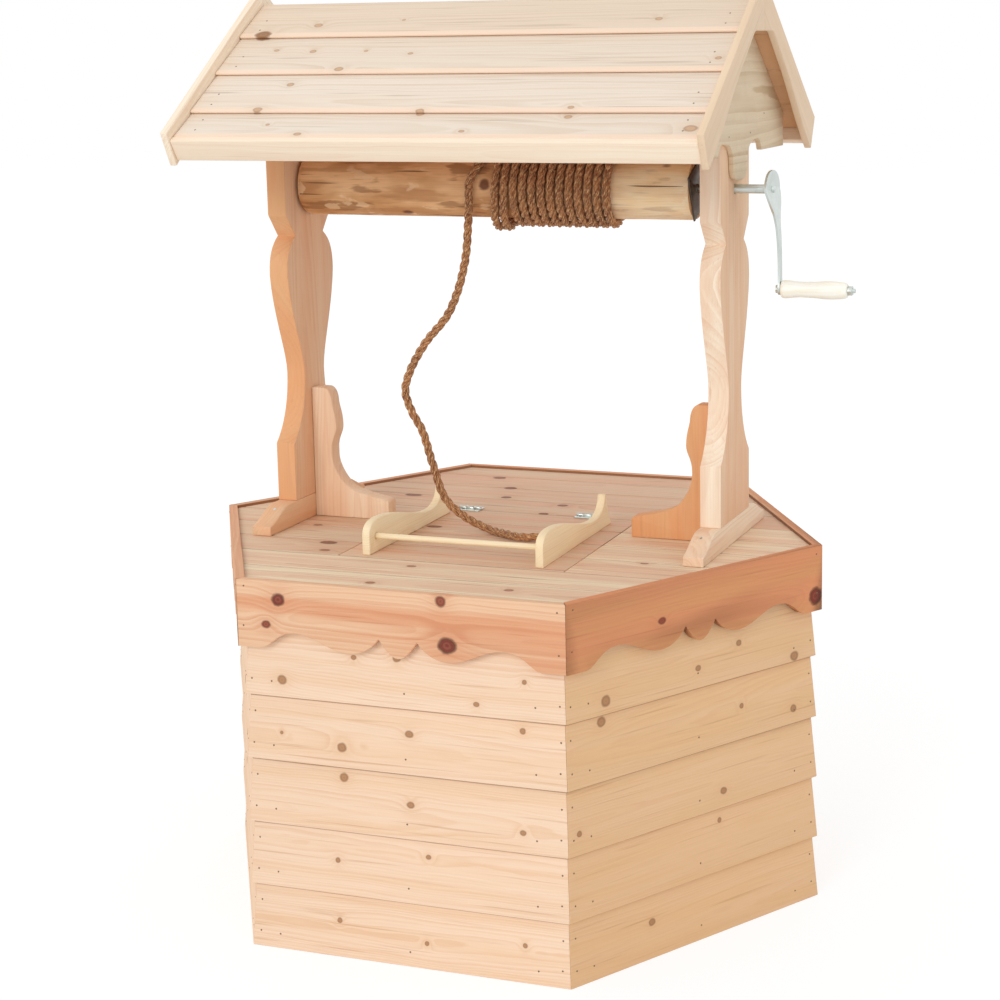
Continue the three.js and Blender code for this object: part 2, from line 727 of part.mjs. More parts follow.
// The middle of the wound rope after `turns` from its first point.
function windingPoint(turns) {
  const angle = 2 * Math.PI * (rope_start_turn + turns);
  const left = rope_total_turns - turns;
  const tail = Math.max(0, 1 - left / rope_tail_turn);
  const low = Math.max(0, -Math.sin(angle));
  const slack = left < rope_slack_turns ? low * low : 0;
  const radius = rope_wrap_radius + rope_slack * slack;
  const shift = rope_tail_shift * tail * tail * (3 - 2 * tail) + rope_slack_shift * slack;
  return new THREE.Vector3(rope_first_x - rope_pitch * turns - shift,
    radius * Math.cos(angle), roller_z + radius * Math.sin(angle));
}

// Its points, with a straight run of one diameter added at each end.
function windingPoints() {
  const points = [];
  for (let i = 0; i <= rope_steps; i++) points.push(windingPoint((i * rope_total_turns) / rope_steps));
  const lead = points[0].clone().sub(points[1]).setLength(rope_diameter);
  const last = points[points.length - 1];
  points.unshift(points[0].clone().add(lead));
  points.push(last.clone().add(new THREE.Vector3(0, 0, -rope_diameter)));
  return points;
}

// The least gap between one turn and the rest of the rope, measured on points along it.
function leastGap(points) {
  let least = Infinity;
  for (let i = 0; i < points.length; i++) {
    for (let j = i + rope_loop_steps / 2; j < points.length; j++) {
      least = Math.min(least, points[i].distanceTo(points[j]));
    }
  }
  return least - rope_diameter;
}

// One unbroken tube of flat-sided rings, each ring's first corner kept towards +X.
function windingRope(points) {
  const along = new THREE.Vector3(1, 0, 0);
  const verts = [];
  const faces = [];
  points.forEach((p, i) => {
    const next = points[Math.min(i + 1, points.length - 1)];
    const tangent = next.clone().sub(points[Math.max(i - 1, 0)]).normalize();
    const side = along.clone().addScaledVector(tangent, -along.dot(tangent)).normalize();
    const up = new THREE.Vector3().crossVectors(tangent, side);
    for (let k = 0; k < rope_loop_sides; k++) {
      const angle = (2 * Math.PI * k) / rope_loop_sides;
      const corner = p.clone().addScaledVector(side, rope_radius * Math.cos(angle));
      verts.push(...corner.addScaledVector(up, rope_radius * Math.sin(angle)).toArray());
    }
  });
  for (let i = 0; i < points.length - 1; i++) {
    for (let k = 0; k < rope_loop_sides; k++) {
      const a = i * rope_loop_sides + k;
      const b = i * rope_loop_sides + ((k + 1) % rope_loop_sides);
      faces.push(a, b, b + rope_loop_sides, a, b + rope_loop_sides, a + rope_loop_sides);
    }
  }
  const last = (points.length - 1) * rope_loop_sides;
  for (let k = 1; k < rope_loop_sides - 1; k++) faces.push(0, k + 1, k, last, last + k, last + k + 1);
  const tube = new THREE.BufferGeometry();
  tube.setAttribute("position", new THREE.Float32BufferAttribute(verts, 3));
  tube.setIndex(faces);
  return solidOf(tube);
}

// The free rope from the front of the roller, down in a loop, to where it lies on the hatch.
function freeRope(start) {
  const lying_z = deck_top_z + rope_radius + rope_lie_gap;
  const route = [
    [start.x, start.y, start.z - fit_gap], [start.x, start.y, start.z - fit_gap - rope_diameter],
    [-45, -66, 1240], [-55, -66, 1160], [-87, -66, 1074], [-138, -66, 1013], [-171, -66, 957],
    [-180, -66, 922], [-168, -66, 885], [-148, -66, 850], [-128, -66, 786], [-104, -66, 722],
    [-67, -66, 691], [-15, -70, lying_z + rope_lie_gap], [25, -92, lying_z], [61, -108, lying_z],
    [92, -99, lying_z], [120, -72, lying_z], [140, -40, lying_z],
  ].map((p) => new THREE.Vector3(...p));
  const curve = new THREE.CatmullRomCurve3(route, false, "centripetal");
  console.log("free rope, mm: " + curve.getLength().toFixed(0));
  return solidOf(new THREE.ExtrudeGeometry(ringShape(rope_radius, rope_free_sides),
    { steps: rope_free_steps, extrudePath: curve }));
}

// Assembly

const wood = (color) => new THREE.MeshStandardMaterial({ color, roughness: 0.75 });
const cladding_pine = wood("#f3d3b0");
const rim_pine = wood("#e6b088");
const deck_pine = wood("#dcb692");
const roof_pine = wood("#f0e0c6");
const post_pine = wood("#ecc79a");
const gable_pine = wood("#d9bb8c");
const handle_pine = wood("#ebcd9b");
const roller_bark = wood("#a97c4c");
const grip_beech = wood("#f5efdf");
const hemp = new THREE.MeshStandardMaterial({ color: "#946540", roughness: 0.95 });
const zinc = new THREE.MeshStandardMaterial({ color: "#c3c8cc", roughness: 0.35, metalness: 1 });

const well = new THREE.Group();

function add(name, solid, material) {
  const mesh = new THREE.Mesh(geometryOf(solid), material);
  mesh.name = name;
  well.add(mesh);
}

const panel = wallPanel();
const rim = rimBoard();
for (let i = 0; i < sides; i++) {
  add(`wall_panel_${i + 1}`, onSide(panel, i), cladding_pine);
  add(`rim_board_${i + 1}`, onSide(rim, i), rim_pine);
}
add("base_bearers", baseBearers(), cladding_pine);
add("floor_board", floorBoard(), cladding_pine);
add("deck_joists", deckJoists(), cladding_pine);

const seam = fit_gap / 2;
const far = corner_radius;
const mid_front_y = hatch_front_y + seam;
const mid_rear_y = hatch_rear_y - seam;
add("deck_front", deckPanel(-far, far, -far, hatch_front_y - seam), deck_pine);
add("deck_rear", deckPanel(-far, far, hatch_rear_y + seam, far), deck_pine);
add("deck_left", deckPanel(-far, -hatch_half_width, mid_front_y, mid_rear_y), deck_pine);
add("deck_right", deckPanel(hatch_half_width, far, mid_front_y, mid_rear_y), deck_pine);
add("hatch_panel", hatchPanel(), deck_pine);
add("handle_dowel", handleDowel(), handle_pine);

for (const [s, side] of [[-1, "left"], [1, "right"]]) {
  add(`handle_${side}`, handleSide(s), handle_pine);
  add(`hinge_fixed_${side}`, hingeLeaf(s, false), zinc);
  add(`hinge_moving_${side}`, hingeLeaf(s, true), zinc);
  add(`post_${side}`, post(s), post_pine);
  add(`foot_cleat_${side}`, footCleat(s), post_pine);
  add(`corbel_${side}`, corbel(s), post_pine);
  add(`gable_board_${side}`, gableBoard(s), gable_pine);
  add(`bargeboard_${side}_front`, bargeBoard(s, -1), roof_pine);
  add(`bargeboard_${side}_rear`, bargeBoard(s, 1), roof_pine);
}

for (const [s, side] of [[-1, "front"], [1, "rear"]]) {
  for (let i = 0; i < roof_boards; i++) {
    add(`roof_board_${side}_${i + 1}`, roofBoard(s, i), roof_pine);
  }
  add(`eave_board_${side}`, eaveBoard(s), roof_pine);
}

add("roller", roller(), roller_bark);
add("crank_shaft", crankShaft(), zinc);
add("idle_pin", idlePin(), zinc);
add("end_plate", endPlate(), zinc);
add("crank_arm", crankArm(), zinc);
add("crank_grip", crankGrip(), grip_beech);
add("grip_bolt", gripBolt(), zinc);
add("grip_nut", gripNut(), zinc);

const wound = windingPoints();
console.log("least gap between turns of the rope, mm: " + leastGap(wound).toFixed(2));
add("rope_winding", windingRope(wound), hemp);
add("rope_hanging", freeRope(wound[wound.length - 1]), hemp);

export default well;
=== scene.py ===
# A wishing well planter in pale pine: a six-sided base of lapped boards with a scalloped rim, a deck
# with a hinged hatch, and a boarded roof on two shaped posts that carry a log roller and its rope.
# Metres. +X along the roller towards the crank, -Y to the front, +Z up, ground at Z = 0.
import json
import math

import bmesh
import bpy
from mathutils import Matrix, Vector, noise
from mathutils.bvhtree import BVHTree


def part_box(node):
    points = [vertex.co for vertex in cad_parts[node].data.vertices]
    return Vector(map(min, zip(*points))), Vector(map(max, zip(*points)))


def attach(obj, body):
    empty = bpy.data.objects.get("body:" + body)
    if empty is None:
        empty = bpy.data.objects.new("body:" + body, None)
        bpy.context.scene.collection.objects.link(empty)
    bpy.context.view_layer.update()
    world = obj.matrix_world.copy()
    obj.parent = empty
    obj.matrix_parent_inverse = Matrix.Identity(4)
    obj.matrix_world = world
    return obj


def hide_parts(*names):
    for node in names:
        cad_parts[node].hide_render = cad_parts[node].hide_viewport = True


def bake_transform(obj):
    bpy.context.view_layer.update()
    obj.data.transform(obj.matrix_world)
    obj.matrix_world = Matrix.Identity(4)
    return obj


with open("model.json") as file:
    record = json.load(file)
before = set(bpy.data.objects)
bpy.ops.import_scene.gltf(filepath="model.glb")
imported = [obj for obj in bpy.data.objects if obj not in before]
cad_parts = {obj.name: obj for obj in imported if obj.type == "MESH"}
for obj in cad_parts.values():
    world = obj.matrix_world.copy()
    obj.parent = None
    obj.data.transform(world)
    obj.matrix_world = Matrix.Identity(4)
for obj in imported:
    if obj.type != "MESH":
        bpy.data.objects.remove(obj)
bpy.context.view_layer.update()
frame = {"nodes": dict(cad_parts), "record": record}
nodes = frame["nodes"]
bodies = frame["record"]["behaviour"]["bodies"]
body_of = {node: body for body, members in bodies.items() for node in members}
scene = bpy.context.scene
scene.view_settings.view_transform = "Standard"


# Camera
# It stands to the right of the well, a little below the ridge, and looks slightly down. The shift
# frames the well as a picture in a catalogue does, with the ridge just outside its upper edge.
def placed(name, data):
    """A new object of the scene."""
    thing = bpy.data.objects.new(name, data)
    scene.collection.objects.link(thing)
    return thing


camera_place = Vector((1.4491, -3.6154, 1.5602))
camera_turn = math.radians(19.57)
camera_dip = math.radians(10.9)
camera_roll = math.radians(-0.74)
backward = Vector((math.sin(camera_turn) * math.cos(camera_dip),
                   -math.cos(camera_turn) * math.cos(camera_dip), math.sin(camera_dip)))
level = Vector((math.cos(camera_turn), math.sin(camera_turn), 0))
upward = backward.cross(level)
rightward = level * math.cos(camera_roll) + upward * math.sin(camera_roll)
upward = backward.cross(rightward)
camera = placed("camera", bpy.data.cameras.new("camera"))
camera.data.sensor_width = 36
camera.data.lens = 76.165
camera.data.shift_x = -0.0919
camera.data.shift_y = -0.0524
camera.data.clip_end = 60
camera.matrix_world = Matrix.Translation(camera_place) @ Matrix(
    (rightward, upward, backward)).transposed().to_4x4()
scene.camera = camera


# Floor and light
# A plain white floor that keeps the soft shadow, under a white surround that gives most of the light.
# One broad soft lamp stands in front, a little to the left and above.
class Wire:
    """A node's socket. An expression on numbers that vary over a surface adds the Math nodes."""

    def __init__(self, recipe, socket):
        self.recipe = recipe
        self.socket = socket

    def beside(self, output):
        """Another output of the same node."""
        return Wire(self.recipe, self.socket.node.outputs[output])

    def math(self, operation, *values):
        return self.recipe.add("ShaderNodeMath", {"operation": operation}, values)

    def __add__(self, other):
        return self.math("ADD", self, other)

    __radd__ = __add__

    def __sub__(self, other):
        return self.math("SUBTRACT", self, other)

    def __rsub__(self, other):
        return self.math("SUBTRACT", other, self)

    def __mul__(self, other):
        return self.math("MULTIPLY", self, other)

    __rmul__ = __mul__

    def __truediv__(self, other):
        return self.math("DIVIDE", self, other)

    def __rtruediv__(self, other):
        return self.math("DIVIDE", other, self)

    def __pow__(self, other):
        return self.math("POWER", self, other)


class Recipe:
    """A node tree under construction."""

    def __init__(self, tree):
        self.tree = tree

    def add(self, kind, settings=None, values=(), output=0):
        node = self.tree.nodes.new(kind)
        for name, value in (settings or {}).items():
            setattr(node, name, value)
        for name, value in values.items() if isinstance(values, dict) else enumerate(values):
            self.join(value, node.inputs[name])
        return Wire(self, node.outputs[output])

    def join(self, value, socket):
        if isinstance(value, Wire):
            self.tree.links.new(value.socket, socket)
        else:
            socket.default_value = value

    def vector(self, operation, values, output=0):
        return self.add("ShaderNodeVectorMath", {"operation": operation}, values, output)


class Finish(Recipe):
    """A material: its shader's constant values are set directly, and the rest is joined."""

    def __init__(self, name, constants):
        self.material = bpy.data.materials.new(name)
        self.material.use_nodes = True
        super().__init__(self.material.node_tree)
        self.shader = self.tree.nodes["Principled BSDF"]
        for socket, value in constants.items():
            self.shader.inputs[socket].default_value = value

    def set(self, socket, value):
        self.join(value, self.shader.inputs[socket])

    def mix(self, share, first, second):
        return self.add("ShaderNodeMix", {"data_type": "RGBA"}, {0: share, 6: first, 7: second}, 2)

    def stored(self, name, output="Fac"):
        return self.add("ShaderNodeAttribute", {"attribute_name": name}, (), output)

    def place(self):
        return self.add("ShaderNodeTexCoord", {}, (), "Object")

    def point(self, *values):
        return self.add("ShaderNodeCombineXYZ", {}, values)

    def parts(self, vector):
        first = self.add("ShaderNodeSeparateXYZ", {}, [vector])
        return [first.beside(output) for output in "XYZ"]

    def cloud(self, place, scale=1.0, detail=2.0):
        return self.add("ShaderNodeTexNoise", {}, {"Vector": place, "Scale": scale, "Detail": detail})

    def rise(self, value, start, end):
        """From 0 at the start to 1 at the end, eased at both."""
        settings = {"interpolation_type": "SMOOTHSTEP"}
        return self.add("ShaderNodeMapRange", settings, [value, start, end, 0.0, 1.0])

    def bump(self, height, strength, depth):
        values = {"Strength": strength, "Distance": depth, "Height": height}
        self.set("Normal", self.add("ShaderNodeBump", {}, values))


def tone(red, green, blue):
    """A colour as it looks on a screen, from 0 to 255, in the numbers that a shader takes."""
    shares = [value / 255 for value in (red, green, blue)]
    return [s / 12.92 if s < 0.04045 else ((s + 0.055) / 1.055) ** 2.4 for s in shares] + [1.0]


floor_half = 20
floor_mesh = bpy.data.meshes.new("floor")
floor_corners = [(x * floor_half, y * floor_half, 0) for x, y in ((-1, -1), (1, -1), (1, 1), (-1, 1))]
floor_mesh.from_pydata(floor_corners, [], [(0, 1, 2, 3)])
placed("floor", floor_mesh)
floor_bounce, floor_shade, floor_glow = 0.86, 0.29, 0.75
paper = Finish("white_floor", {"Roughness": 0.9, "Specular IOR Level": 0.1, "Emission Strength": 1.0})
seen = paper.add("ShaderNodeLightPath")
paper.set("Base Color", paper.mix(seen, [floor_bounce] * 3 + [1], [floor_shade] * 3 + [1]))
paper.set("Emission Color", paper.mix(seen, [0, 0, 0, 1], [floor_glow] * 3 + [1]))
floor_mesh.materials.append(paper.material)

surround = bpy.data.worlds.new("surround")
surround.use_nodes = True
scene.world = surround
sky = Recipe(surround.node_tree)
background = sky.tree.nodes["Background"]
rays = sky.add("ShaderNodeLightPath")
direct = rays.math("MAXIMUM", rays, rays.beside("Is Glossy Ray"))
direct = direct.math("MAXIMUM", direct, rays.beside("Is Transmission Ray"))
sky_light = 0.85
sky.join(sky_light + (1 - sky_light) * direct, background.inputs["Strength"])
background.inputs["Color"].default_value = (1, 1, 1, 1)

lamp_from = Vector((-0.14, -0.9, 0.42))
lamp = placed("lamp", bpy.data.lights.new("lamp", "SUN"))
lamp.data.energy = 0.78
lamp.data.angle = math.radians(24)
lamp.matrix_world = lamp_from.to_track_quat("Z", "Y").to_matrix().to_4x4()

# Rope
# Hemp rope laid in three strands, 16 mm thick: thirteen turns round the log, the last two slack, and
# a free end that hangs in front, curls over the deck and lies on the hatch behind the handle.
rope_diameter = 0.016
rope_lay = 0.056
roller_axis_z = 1.3
roller_radius = 0.0575
fit_gap = 0.0003
rope_pitch = 0.0177
rope_start_turn = 1 / 6
rope_total_turns = 13 + 1 / 2 - rope_start_turn
rope_first_x = 0.226
rope_tail_shift, rope_tail_turn = 0.033, 0.25
rope_slack, rope_slack_shift, rope_slack_turns = 0.008, 0.01, 2
rope_loop_steps = 96
rope_lie_z = 0.6696
free_route = [
    (-0.045, -0.066, 1.24), (-0.055, -0.066, 1.16), (-0.087, -0.066, 1.074), (-0.138, -0.066, 1.013),
    (-0.171, -0.066, 0.957), (-0.18, -0.066, 0.922), (-0.168, -0.066, 0.885), (-0.148, -0.066, 0.85),
    (-0.128, -0.066, 0.786), (-0.104, -0.066, 0.722), (-0.067, -0.066, 0.691),
    (-0.015, -0.07, rope_lie_z + 0.0006), (0.025, -0.092, rope_lie_z), (0.061, -0.108, rope_lie_z),
    (0.092, -0.099, rope_lie_z), (0.12, -0.072, rope_lie_z), (0.14, -0.04, rope_lie_z),
]


def winding_point(turns):
    """The middle of the wound rope after so many turns."""
    angle = 2 * math.pi * (rope_start_turn + turns)
    left = rope_total_turns - turns
    tail = max(0, 1 - left / rope_tail_turn)
    low = max(0, -math.sin(angle))
    slack = low * low if left < rope_slack_turns else 0
    radius = roller_radius + rope_diameter / 2 + fit_gap + rope_slack * slack
    shift = rope_tail_shift * tail * tail * (3 - 2 * tail) + rope_slack_shift * slack
    return Vector((rope_first_x - rope_pitch * turns - shift, radius * math.cos(angle),
                   roller_axis_z + radius * math.sin(angle)))


def smooth_route(points, steps):
    """A curve through the points that neither overshoots nor loops between close ones."""
    ends = [points[0] * 2 - points[1]] + points + [points[-1] * 2 - points[-2]]
    route = []
    for p0, p1, p2, p3 in zip(ends, ends[1:], ends[2:], ends[3:]):
        t0, t1, t2 = (math.sqrt((b - a).length) for a, b in ((p0, p1), (p1, p2), (p2, p3)))
        out = ((p1 - p0) / t0 - (p2 - p0) / (t0 + t1) + (p2 - p1) / t1) * t1
        into = ((p2 - p1) / t1 - (p3 - p1) / (t1 + t2) + (p3 - p2) / t2) * t1
        for k in range(steps):
            s = k / steps
            route.append(p1 * (2 * s ** 3 - 3 * s ** 2 + 1) + out * (s ** 3 - 2 * s ** 2 + s)
                         + p2 * (3 * s ** 2 - 2 * s ** 3) + into * (s ** 3 - s ** 2))
    return route + [points[-1]]


def settle(piece):
    """Makes what a piece's modifiers show its own plain mesh."""
    made = piece.evaluated_get(bpy.context.evaluated_depsgraph_get())
    mesh = bpy.data.meshes.new_from_object(made)
    piece.modifiers.clear()
    piece.data = mesh
    return piece


class Plan(Recipe):
    """A Geometry Nodes tree with named inputs, which ends in one mesh of one material."""

    kinds = {float: "NodeSocketFloat", int: "NodeSocketInt"}

    def __init__(self, name, sizes):
        super().__init__(bpy.data.node_groups.new(name, "GeometryNodeTree"))
        sockets = self.tree.interface
        sockets.new_socket("Geometry", in_out="INPUT", socket_type="NodeSocketGeometry")
        sockets.new_socket("Geometry", in_out="OUTPUT", socket_type="NodeSocketGeometry")
        for size, value in sizes.items():
            sockets.new_socket(size, in_out="INPUT", socket_type=self.kinds[type(value)])
        self.entry = self.tree.nodes.new("NodeGroupInput")
        self.sizes = sizes
        self.start = Wire(self, self.entry.outputs["Geometry"])

    def size(self, name):
        return Wire(self, self.entry.outputs[name])

    def close(self, shape, finish):
        real = self.add("GeometryNodeRealizeInstances", {}, [shape])
        painted = self.add("GeometryNodeSetMaterial", {}, {"Geometry": real, "Material": finish.material})
        self.join(painted, self.tree.nodes.new("NodeGroupOutput").inputs["Geometry"])

    def ring(self, radius, sides):
        return self.add("GeometryNodeCurvePrimitiveCircle", {"mode": "RADIUS"}, {
            "Resolution": self.size(sides), "Radius": self.size(radius)})

    def close_tube(self, line, ring, finish):
        tube = self.add("GeometryNodeCurveToMesh", {}, {
            "Curve": line, "Profile Curve": ring, "Fill Caps": True})
        self.close(self.add("GeometryNodeSetShadeSmooth", {}, [tube]), finish)

    def make(self, name, base_mesh):
        """Runs the tree on a mesh and keeps the result as a plain mesh piece."""
        piece = placed(name, base_mesh)
        modifier = piece.modifiers.new("plan", "NODES")
        modifier.node_group = self.tree
        for item in self.tree.interface.items_tree:
            if item.in_out == "INPUT" and item.name in self.sizes:
                modifier[item.identifier] = self.sizes[item.name]
        return settle(piece)


hemp = Finish("hemp", {"Specular IOR Level": 0.25, "Sheen Weight": 0.15, "Sheen Roughness": 0.6})
strand_run = hemp.stored("strand_run")
side_x, side_y, side_z = hemp.parts(hemp.stored("strand_side", "Vector"))
around = side_x.math("ARCTAN2", side_y, side_x)
fleck = hemp.cloud(hemp.place(), 260.0)
patch = hemp.cloud(hemp.place(), 28.0)
yarn_count, yarn_twist, yarn_stray = 7.0, 150.0, 3.0
yarn_phase = around * yarn_count + strand_run * (yarn_twist * yarn_count) + fleck * yarn_stray
yarn = yarn_phase.math("SINE", yarn_phase)
fibre = hemp.point(around * 4.5, strand_run * yarn_twist, 0.0)
straw = hemp.add("ShaderNodeTexNoise", {"noise_dimensions": "2D"},
                 {"Vector": fibre, "Scale": 1.0, "Detail": 3.0})
hemp_colour = hemp.mix(hemp.rise(patch, 0.3, 0.7), tone(150, 90, 52), tone(186, 120, 72))
hemp_colour = hemp.mix(hemp.rise(straw, 0.53, 0.61) * 0.95, hemp_colour, tone(252, 212, 156))
hemp_colour = hemp.mix((1 - hemp.rise(straw, 0.3, 0.46)) * 0.7, hemp_colour, tone(92, 50, 30))
# Painted shade: darker in the grooves between the yarns.
hemp_colour = hemp.mix((1 - hemp.rise(yarn, -1.0, -0.3)) * 0.4, hemp_colour, tone(104, 64, 38))
hemp.set("Base Color", hemp_colour)
hemp.set("Roughness", 0.78 + 0.2 * straw)
hemp.bump(yarn * 0.5 + straw * 0.8, 0.7, 0.0008)

strand_share, offset_share, strand_shift = 0.466, 0.534, 0.37
rope_plan = Plan("laid_rope", {
    "Strand radius": rope_diameter / 2 * strand_share, "Strand offset": rope_diameter / 2 * offset_share,
    "Lay": rope_lay, "Strands": 3, "Step": 0.0028, "Strand sides": 9,
})
line = rope_plan.add("GeometryNodeMeshToCurve", {}, [rope_plan.start])
line = rope_plan.add("GeometryNodeResampleCurve", {"mode": "LENGTH"},
                     {"Curve": line, "Length": rope_plan.size("Step")})
strands = rope_plan.add("GeometryNodeDuplicateElements", {"domain": "SPLINE"},
                        {"Geometry": line, "Amount": rope_plan.size("Strands")})
strand = strands.beside("Duplicate Index")
run = rope_plan.add("GeometryNodeSplineParameter", {}, (), "Length")
normal = rope_plan.add("GeometryNodeInputNormal")
binormal = rope_plan.vector("CROSS_PRODUCT", [rope_plan.add("GeometryNodeInputTangent"), normal])
turned = (run / rope_plan.size("Lay") + strand / rope_plan.size("Strands")) * (2 * math.pi)
offset = rope_plan.vector("ADD", [
    rope_plan.vector("SCALE", {"Vector": way, "Scale": turned.math(wave, turned)
                               * rope_plan.size("Strand offset")})
    for way, wave in ((normal, "COSINE"), (binormal, "SINE"))])
strands = rope_plan.add("GeometryNodeStoreNamedAttribute", {"data_type": "FLOAT", "domain": "POINT"},
                        {"Geometry": strands, "Name": "strand_run", "Value": run + strand * strand_shift})
strands = rope_plan.add("GeometryNodeSetPosition", {}, {"Geometry": strands, "Offset": offset})
ring = rope_plan.add("GeometryNodeStoreNamedAttribute", {"data_type": "FLOAT_VECTOR", "domain": "POINT"},
                     {"Geometry": rope_plan.ring("Strand radius", "Strand sides"), "Name": "strand_side",
                      "Value": rope_plan.add("GeometryNodeInputPosition")})
rope_plan.close_tube(strands, ring, hemp)


def line_mesh(name, points):
    """A chain of edges, from which a tree makes its curve."""
    mesh = bpy.data.meshes.new(name)
    mesh.from_pydata(points, [(i, i + 1) for i in range(len(points) - 1)], [])
    return mesh


winding_steps = round(rope_total_turns * rope_loop_steps)
wound = [winding_point(i * rope_total_turns / winding_steps) for i in range(winding_steps + 1)]
free_start = wound[-1] + Vector((0, 0, -fit_gap))
lead_in = wound[0] + (wound[0] - wound[1]).normalized() * rope_diameter
winding = rope_plan.make("wound_rope", line_mesh("winding_line", [lead_in] + wound))
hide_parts("rope_winding")
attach(winding, "windlass")

# The free end runs from the winding's end along the route above.
free_points = [free_start, free_start - Vector((0, 0, rope_diameter))] + [Vector(p) for p in free_route]
free_path = smooth_route(free_points, 12)
free_length = sum((b - a).length for a, b in zip(free_path, free_path[1:]))
hanging = rope_plan.make("hanging_rope", line_mesh("hanging_line", free_path))
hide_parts("rope_hanging")
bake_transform(hanging)

# A whipping of waxed twine keeps the free end from fraying.
twine = Finish("waxed_twine", {"Specular IOR Level": 0.4})
twine_fibre = twine.cloud(twine.place(), 900.0, 3.0)
twine.set("Base Color", twine.mix(twine_fibre, tone(206, 170, 120), tone(150, 108, 68)))
twine.set("Roughness", 0.5 + 0.3 * twine_fibre)
twine.bump(twine_fibre, 0.4, 0.0003)
twine_plan = Plan("whipping", {"Twine radius": 0.0007, "Twine sides": 8})
twine_line = twine_plan.add("GeometryNodeMeshToCurve", {}, [twine_plan.start])
twine_plan.close_tube(twine_line, twine_plan.ring("Twine radius", "Twine sides"), twine)
twine_turns, twine_pitch, twine_reach, twine_steps, twine_from_end = 9, 0.0014, 0.0074, 24, 0.002
rope_way = (free_path[-1] - free_path[-2]).normalized()
up = Vector((0, 0, 1))
sideways = rope_way.cross(up)
twine_points = []
for i in range(twine_turns * twine_steps + 1):
    angle = 2 * math.pi * i / twine_steps
    back = rope_way * (twine_pitch * i / twine_steps + twine_from_end)
    round_it = sideways * math.cos(angle) + up * math.sin(angle)
    twine_points.append(free_path[-1] - back + round_it * twine_reach)
whipping = twine_plan.make("rope_whipping", line_mesh("whipping_line", twine_points))
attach(whipping, "well")

# Walls
# Five feather-edge boards to a side, each lapping the one below and nailed at its ends and middle to
# the uprights behind. They are planed pine, paler in front and more golden round the sides. The right
# front side's deeper gold is partly the wood and partly painted shade.
board_seed = [0]
clad_exposure, clad_top = 0.115, 0.6
sides = []
for side in range(6):
    angle = side * math.radians(60)
    outward = Vector((math.sin(angle), -math.cos(angle), 0))
    sides.append((side, outward, Vector((math.cos(angle), math.sin(angle), 0))))


